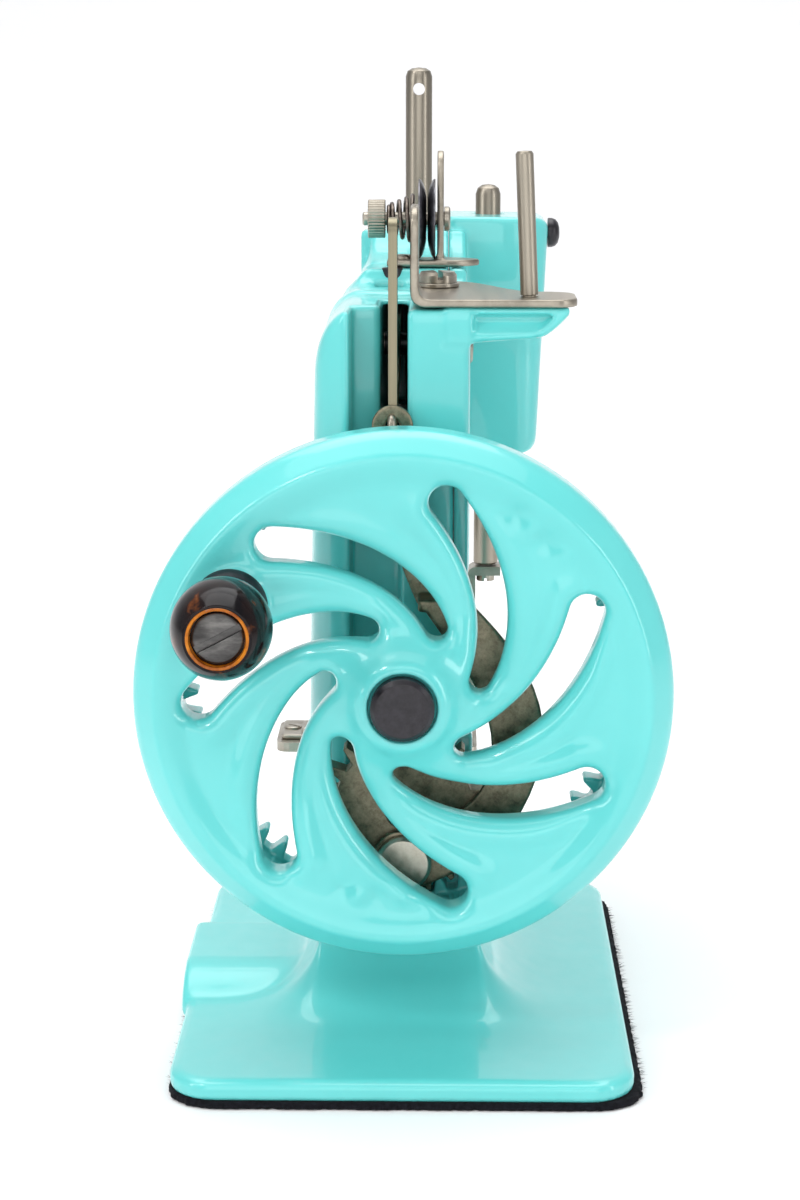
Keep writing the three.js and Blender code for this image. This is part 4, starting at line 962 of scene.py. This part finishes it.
def bracket_field(x, y, z):
    """A sheet with a lying foot and a lug bent upright along the slot."""
    foot = path(
        (17.6, 1), (17.6, 29), arc(13, 29, 4.6, 0, 90, 8), (5, 33.6), ((-1, 33.6), (-1, 27)),
        ((-1, 19), (-24, 18), (-26, 8)), ((-26.5, 1), (-20, 1)),
    )
    lug = path((1, 140), (17.6, 140), arc(13.6, 162, 4, 0, 90, 8), arc(5, 162, 4, 90, 180, 8))
    low = COLUMN_TOP + 0.05
    high = low + 1.6
    bend = path(
        (34, low), (34, high), (5.2, high), ((2.6, high), (2.6, high + 2.6)), (2.6, 167), (1, 167),
        (1, high + 1.8), ((1, low), (4.2, low)),
    )
    lying = extrude(flat(foot, x, y), z, low, high, 0.35)
    lying = np.maximum(lying, np.where((x > 1) & (y < 4.3), 9, -9))
    outline = np.where(y < 5.2, flat(lug, x, z), flat(foot, x, y))
    standing = meet(extrude(flat(bend, y, z), x, 1, 17.6, 0.35), outline, 0.3)
    body = np.minimum(lying, standing)
    body = carve(body, rod(x, y, z, BRACKET_SCREW, 1.75, 140, 160, 0), 0.2)
    body = carve(body, rod(x, y, z, SPOOL_PIN, 1.6, 140, 160, 0), 0.2)
    return carve(body, rod(x, z, y, (9.4, 161), 1.4, -2, 5, 0), 0.2)


def make_spool_bracket():
    low, high = (-26.5, 1, COLUMN_TOP), (17.6, 33.6, 166)
    made = cast("spool_bracket_plate", bracket_field, low, high, 0.4)
    fit(made, "frame", "nickel_plate", "spool_bracket", material=BRUSHED_NICKEL)
    head = make_screw("bracket_screw_head", "z", 149.3, 1, BRACKET_SCREW, 3.9, 2.3, 1.5, 7, 0.16, 0.05)
    fit_nickel(head, "bracket_screw")
    washer = [(1.8, 148.4), (4.4, 148.4), (4.4, 149.25), (1.8, 149.25), (1.8, 148.4)]
    fit_nickel(turned("bracket_washer_ring", "z", washer, BRACKET_SCREW), "bracket_washer")


def lever_outline():
    """A fork at the needle bar, an arm with its pivot, and an upright finger at the column."""
    return path(
        (-70.5, 148.2), (-34, 140), ((-28, 142.5), (-22, 138.2)), (10, 130.5), (10, 161),
        arc(13, 160.9, 3, 180, 0, 14), (16, 127.6), (16.6, 126), (16.2, 122.6), (8, 122.9),
        (-22, 130.6), ((-28, 127.8), (-34, 131.8)), (-70.5, 140.2), (-79, 142), (-79, 143.1),
        (-71, 142.3), (-71, 147), (-79, 147.6), (-79, 148.7), (-72, 148.6),
    )


def make_lever():
    made = plate("needle_lever_plate", "y", lever_outline(), LEVER_Y - 0.87, LEVER_Y + 0.87, 0.3)
    minus(made, hole("y", LEVER_PIVOT, 2.5, -10, 5), hole("y", (13, 160.1), 0.9, -10, 5))
    fit(made, "lever", "nickel_plate", "needle_lever", material=BRASS)
    head = make_screw("lever_pivot_head", "y", -11.02, -1, LEVER_PIVOT, 4.2, 1.8, 2.2, 18.8, 0.5)
    fit_nickel(head, "lever_pivot_screw")
    sleeve = [(2.22, -4.9), (2.42, -4.9), (2.42, 0.4), (2.22, 0.4), (2.22, -4.9)]
    made = turned("lever_pivot_sleeve", "y", sleeve, LEVER_PIVOT, 48, 0)
    fit(made, "frame", "blackened_steel")


def tension_bracket_field(x, y, z):
    """An angle with a foot on the arm and a tall strip with a thread hole."""
    foot = path((-44, -4.6), (-34, -4.6), (-34, 8), ((-35, 13.4), (-39, 15.2)), ((-43, 13.4), (-44, 8)))
    strip = path((-43, 150.5), (-35, 150.5), arc(-39, STRIP_TOP, 4, 0, 180, 14))
    lying = extrude(flat(foot, x, y), z, 150.5, 151.9, 0.3)
    upright = extrude(flat(strip, x, z), y, 6.1, 7.5, 0.3)
    body = blend(lying, upright, 1.2)
    body = carve(body, rod(x, z, y, TENSION, 1.6, -5, 12, 0), 0.2)
    return carve(body, rod(x, z, y, (-39, STRIP_TOP), 1.1, 0, 12, 0), 0.2)


def make_tension_bracket():
    low, high = (-44, -4.6, 150.5), (-34, 15.2, STRIP_TOP + 4)
    made = cast("tension_bracket_plate", tension_bracket_field, low, high, 0.35)
    fit(made, "frame", "nickel_plate", "tension_bracket", material=BRUSHED_NICKEL)
    head = make_screw("tension_foot_screw", "z", 151.92, 1, (-39, -1.6), 2.3, 0.9, 1.2, 3.2, 0.7)
    fit_nickel(head, "tension_bracket_screw")
    # A black disc in the arm's top, half under the edge of the tension bracket's foot.
    plug = [(2.3, 148.4), (2.3, 150.2), (2.0, 150.42), (0.01, 150.45)]
    fit(turned("arm_top_black_disc", "z", plug, (-34, -3.4), 48, 0.1), "frame", "blackened_steel")


def make_tension_discs():
    """Two dished discs, back to back."""
    steel = disc_steel()
    face = [(1.75, 0.15), (4.6, 0.15), (6.2, 0.42), (7.4, 0.8), (8.2, 1.25), (8.45, 1.5), (8.4, 1.8)]
    back = [(8.1, 1.75), (7.2, 1.35), (6, 1.0), (4.8, 0.75), (1.75, 0.75), (1.75, 0.15)]
    for name, side in (("tension_disc_inner", 1), ("tension_disc_outer", -1)):
        profile = [(radius, 3.9 + side * place) for radius, place in face + back]
        made = turned(name + "_dish", "y", profile, TENSION, 96, 0)
        fit(made, "frame", "blackened_steel", name, material=steel)


def knurled_outline(ridges=36):
    x, z = TENSION
    radii = (3.85, 4.02, 4.15, 4.02)
    points = []
    for k in range(ridges * len(radii)):
        angle = 2 * math.pi * k / (ridges * len(radii))
        radius = radii[k % len(radii)]
        points.append((x + radius * math.cos(angle), z + radius * math.sin(angle)))
    return points


def make_tension_stud():
    """The stud with its tapered spring and knurled nut."""
    stud = [(1.2, -9.9), (1.45, -9.6), (1.45, 7.6), (2.6, 7.6), (2.6, 8.6), (2.2, 8.9), (0.01, 8.9)]
    fit_nickel(turned("tension_stud_bar", "y", stud, TENSION, 48, 0.1), "tension_stud")
    made = coil("tension_spring_wire", "y", TENSION, -4.7, 1.3, 4.5, lambda t: 2.6 + 2.6 * t, 0.45)
    fit(made, "frame", "spring_wire", "tension_spring")
    nut = plate("tension_nut_knurl", "y", knurled_outline(), -8.7, -5, 0.25)
    made = minus(nut, hole("y", TENSION, 1.75, -12, 0))
    fit(made, "tension_nut", "nickel_plate", "tension_nut")


def make_presser_spring():
    """A spring between the head and the collar on the presser bar."""
    spring = coil("presser_spring_wire", "z", PRESSER, 126.9, 156, 7, lambda t: 4.1, 0.55)
    spring.data.materials.append(MATERIALS["spring_wire"])
    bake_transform(spring)
    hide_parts("presser_spring")


def edge_guide_field(x, y, z):
    """A small plate with a low upright at its back edge."""
    body = extrude(flat(rounded_box(-77, -63, -30, -23.8, 1), x, y), z, BED_TOP, 39.5, 0.2)
    body = np.minimum(body, block(x, y, z, (-70, -25.2, 38.6), (-63, -23.8, 41.2), 0.4))
    return carve(body, rod(x, y, z, (-70, -27.6), 1.5, 30, 50, 0), 0.1)


def make_edge_guide():
    guide = cast("edge_guide_angle", edge_guide_field, (-77, -30, 38.4), (-63, -23.8, 41.2), 0.3)
    fit_nickel(guide, "edge_guide")
    head = make_screw("edge_guide_screw_head", "z", 39.52, 1, (-70, -27.6), 2, 0.5, 1.2, 3, 0.9)
    fit_nickel(head, "edge_guide_screw")


def make_screws():
    shank = [(1.3, 18), (1.3, 31.1), (3.3, 31.1)]
    dome = [(3.3, 32), (3.0, 32.8), (2.3, 33.4), (1.2, 33.7), (0.01, 33.8)]
    made = turned("head_screw_dome", "y", shank + dome, (-72, 155.3), 72, 0.08)
    fit(made, "frame", "blackened_steel", "head_screw")
    for k, centre in enumerate(((-3, 80), (-46, 132))):
        name = f"cover_screw_{k + 1}"
        head = make_screw(name + "_head", "y", 12.52, 1, centre, 3.4, 1.5, 1.5, 3.8, 0.4 + k, 0.1)
        fit_nickel(head, name)
    for k, centre in enumerate(((-62, -8), (-62, 11))):
        name = f"plate_screw_{k + 1}"
        head = make_screw(name + "_head", "z", BED_TOP, 1, centre, 2.6, 1, 1.3, 3.4, 0.3 + k)
        fit_nickel(head, name)
    face, turn = KNOB_X + 22.1, math.radians(27.6)
    made = make_screw("knob_screw_head", "x", face, 1, KNOB, 4.7, 1.2, 2, 30, turn, 0.1)
    fit(made, "wheel", "blackened_steel", "knob_screw", material=worn_steel())


# ---- felt ----
def felt_field(x, y, z):
    """A pad cut to the base's outline, with a wavy edge."""
    wave = 0.25 * np.sin(x * 1.7 + 2 * np.sin(y * 0.9)) * np.sin(y * 1.3 + 1.7)
    wave = wave + 0.16 * np.sin(x * 4.1 + y * 3.3)
    outline = rounded_box(-BASE_X, BASE_X, -BASE_Y, FELT_BACK, BASE_CORNER)
    return extrude(flat(outline, x, y) - 0.25 - wave, z, 0, BASE_LOW - 0.02, 0.5)


def make_felt():
    made = cast("felt_sheet", felt_field, (-63, -46, 0), (63, 46, BASE_LOW), 0.5)
    fit(made, "frame", "black_felt", "felt_pad")


def make_felt_fibres():
    """Loose fibres at the pad's front and back edges, three quarters of them at the back."""
    chance = np.random.default_rng(7)
    points, faces = [], []
    for first in range(0, 4 * FIBRES, 4):
        x, side = chance.uniform(-53, 53), chance.choice((-1, 1, 1, 1))
        edge = FELT_BACK - 0.1 if side > 0 else 0.1 - BASE_Y
        root = np.array((x, edge, chance.uniform(0.25, 1.35)))
        tip = root + (chance.normal(0, 0.7), side * chance.uniform(0.6, 2.0), chance.uniform(-0.1, 0.5))
        tip[2] = max(tip[2], 0.1)
        for turn in (0, 2.1, 4.2):
            points.append((root + 0.07 * np.array((math.cos(turn), 0, math.sin(turn)))) * MM)
        points.append(tip * MM)
        a, b, c, d = range(first, first + 4)
        faces += [(a, b, d), (b, c, d), (c, a, d), (c, b, a)]
    fit(finished("felt_fibres", [list(p) for p in points], faces, 0), "frame", "black_felt")


# ---- CAD nodes that stay, with better edges and materials ----
CAD_NICKEL = """
    hub_stud looper_shaft looper feed_dog bed_plate slide_plate needle_bar_stud needle_clamp
    needle_clamp_screw needle needle_bush_upper needle_bush_lower presser_foot presser_foot_screw
    presser_collar presser_lifter lifter_pivot_screw
""".split()
CAD_BRONZE = "shaft_bush timing_gear_upper timing_gear_lower feed_cam".split()


def dress_cad():
    for name in CAD_NICKEL + CAD_BRONZE:
        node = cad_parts[name]
        node.data.materials.clear()
        node.data.materials.append(MATERIALS["bronzed_steel" if name in CAD_BRONZE else "nickel_plate"])
        weld = node.modifiers.new("weld", "WELD")
        weld.merge_threshold = 1e-6
        bevel(node, 0.2, 2, 40, harden=False)


# ---- stage, light and camera ----
def make_stage():
    """A floor that bends up into a wall on the far side."""
    start, bend = -700, 500
    turns = np.linspace(0.1, 1.57, 14)
    curved = [(start - bend * math.sin(a), bend - bend * math.cos(a)) for a in turns]
    rows = [(1600, 0), (start, 0), *curved, (start - bend, 2400)]
    points = [[x * MM, y * MM, z * MM] for x, z in rows for y in (-2600, 2600)]
    faces = [(2 * k, 2 * k + 2, 2 * k + 3, 2 * k + 1) for k in range(len(rows) - 1)]
    mesh = bpy.data.meshes.new("backdrop")
    mesh.from_pydata(points, [], faces)
    made = linked("backdrop", mesh)
    smooth(made, 60)
    paper = Finish("white paper", (0.93, 0.93, 0.935), 0.7)
    paper.gloss(paper.noise(30, 3), 0.65, 0.75)
    made.data.materials.append(paper.material)


def make_world():
    """A white tent, open and darker on the camera's side, +X."""
    world = bpy.data.worlds.new("studio")
    bpy.context.scene.world = world
    world.use_nodes = True
    tree = world.node_tree
    parts = tree.nodes.new("ShaderNodeSeparateXYZ")
    turn = tree.nodes.new("ShaderNodeMapRange")
    turn.inputs["From Min"].default_value = -1.0
    shade = tree.nodes.new("ShaderNodeValToRGB")
    tent = (0, (0.9, 0.92, 0.96)), (0.6, (0.97, 0.98, 1))
    opening = (0.84, (0.55, 0.56, 0.58)), (0.97, (0.18, 0.18, 0.19))
    set_shades(shade.color_ramp, tent + opening)
    tree.links.new(tree.nodes.new("ShaderNodeTexCoord").outputs["Generated"], parts.inputs[0])
    tree.links.new(parts.outputs["X"], turn.inputs["Value"])
    tree.links.new(turn.outputs["Result"], shade.inputs["Fac"])
    tree.links.new(shade.outputs["Color"], tree.nodes["Background"].inputs["Color"])
    tree.nodes["Background"].inputs["Strength"].default_value = 0.5


def area_light(name, place, towards, size, power):
    light = bpy.data.lights.new(name, "AREA")
    light.shape = "RECTANGLE"
    light.size, light.size_y = size
    light.energy = power
    made = linked(name, light)
    made.location = place
    made.rotation_euler = (Vector(towards) - Vector(place)).to_track_quat("-Z", "Y").to_euler()


def make_lights():
    middle = (0, 0, 0.08)
    area_light("overhead", (-0.25, -0.05, 0.95), middle, (0.9, 0.7), 4.4)
    area_light("key", (0.5, -0.45, 0.8), middle, (0.14, 0.14), 1.3)
    area_light("left", (0.5, -0.85, 0.5), middle, (0.2, 0.7), 2.7)
    area_light("right", (0.5, 0.9, 0.35), middle, (0.2, 0.7), 2.3)
    area_light("front", (1.05, 0, 0.24), middle, (0.9, 0.4), 2.6)
    area_light("front high", (0.8, 0.05, 0.75), middle, (0.9, 0.3), 1.9)
    area_light("backdrop light", (-0.35, 0, 1.7), (-1.1, 0, 0.6), (1.6, 1.6), 10.5)


def make_camera():
    """A long lens on the handwheel's end, looking down by 12 degrees."""
    data = bpy.data.cameras.new("camera")
    data.lens = 76.26
    data.sensor_width = 36
    data.clip_start = 0.01
    made = linked("camera", data)
    ahead = Vector((-0.97785, -0.01634, -0.2086)).normalized()
    right = ahead.cross(Vector((0, 0, 1))).normalized()
    up = right.cross(ahead)
    turn = Matrix((right, up, -ahead)).transposed().to_4x4()
    made.matrix_world = Matrix.Translation((0.5104, 0.0073, 0.1941)) @ turn
    bpy.context.scene.camera = made
    bpy.context.scene.view_settings.view_transform = "Standard"


make_camera()
make_world()
make_lights()
make_stage()
make_castings()
make_wheel()
make_knob()
make_gear_train()
make_rod()
make_bars()
make_spool_pin()
make_spool_bracket()
make_lever()
make_tension_bracket()
make_tension_stud()
make_tension_discs()
make_presser_spring()
make_edge_guide()
make_screws()
make_felt()
make_felt_fibres()
dress_cad()
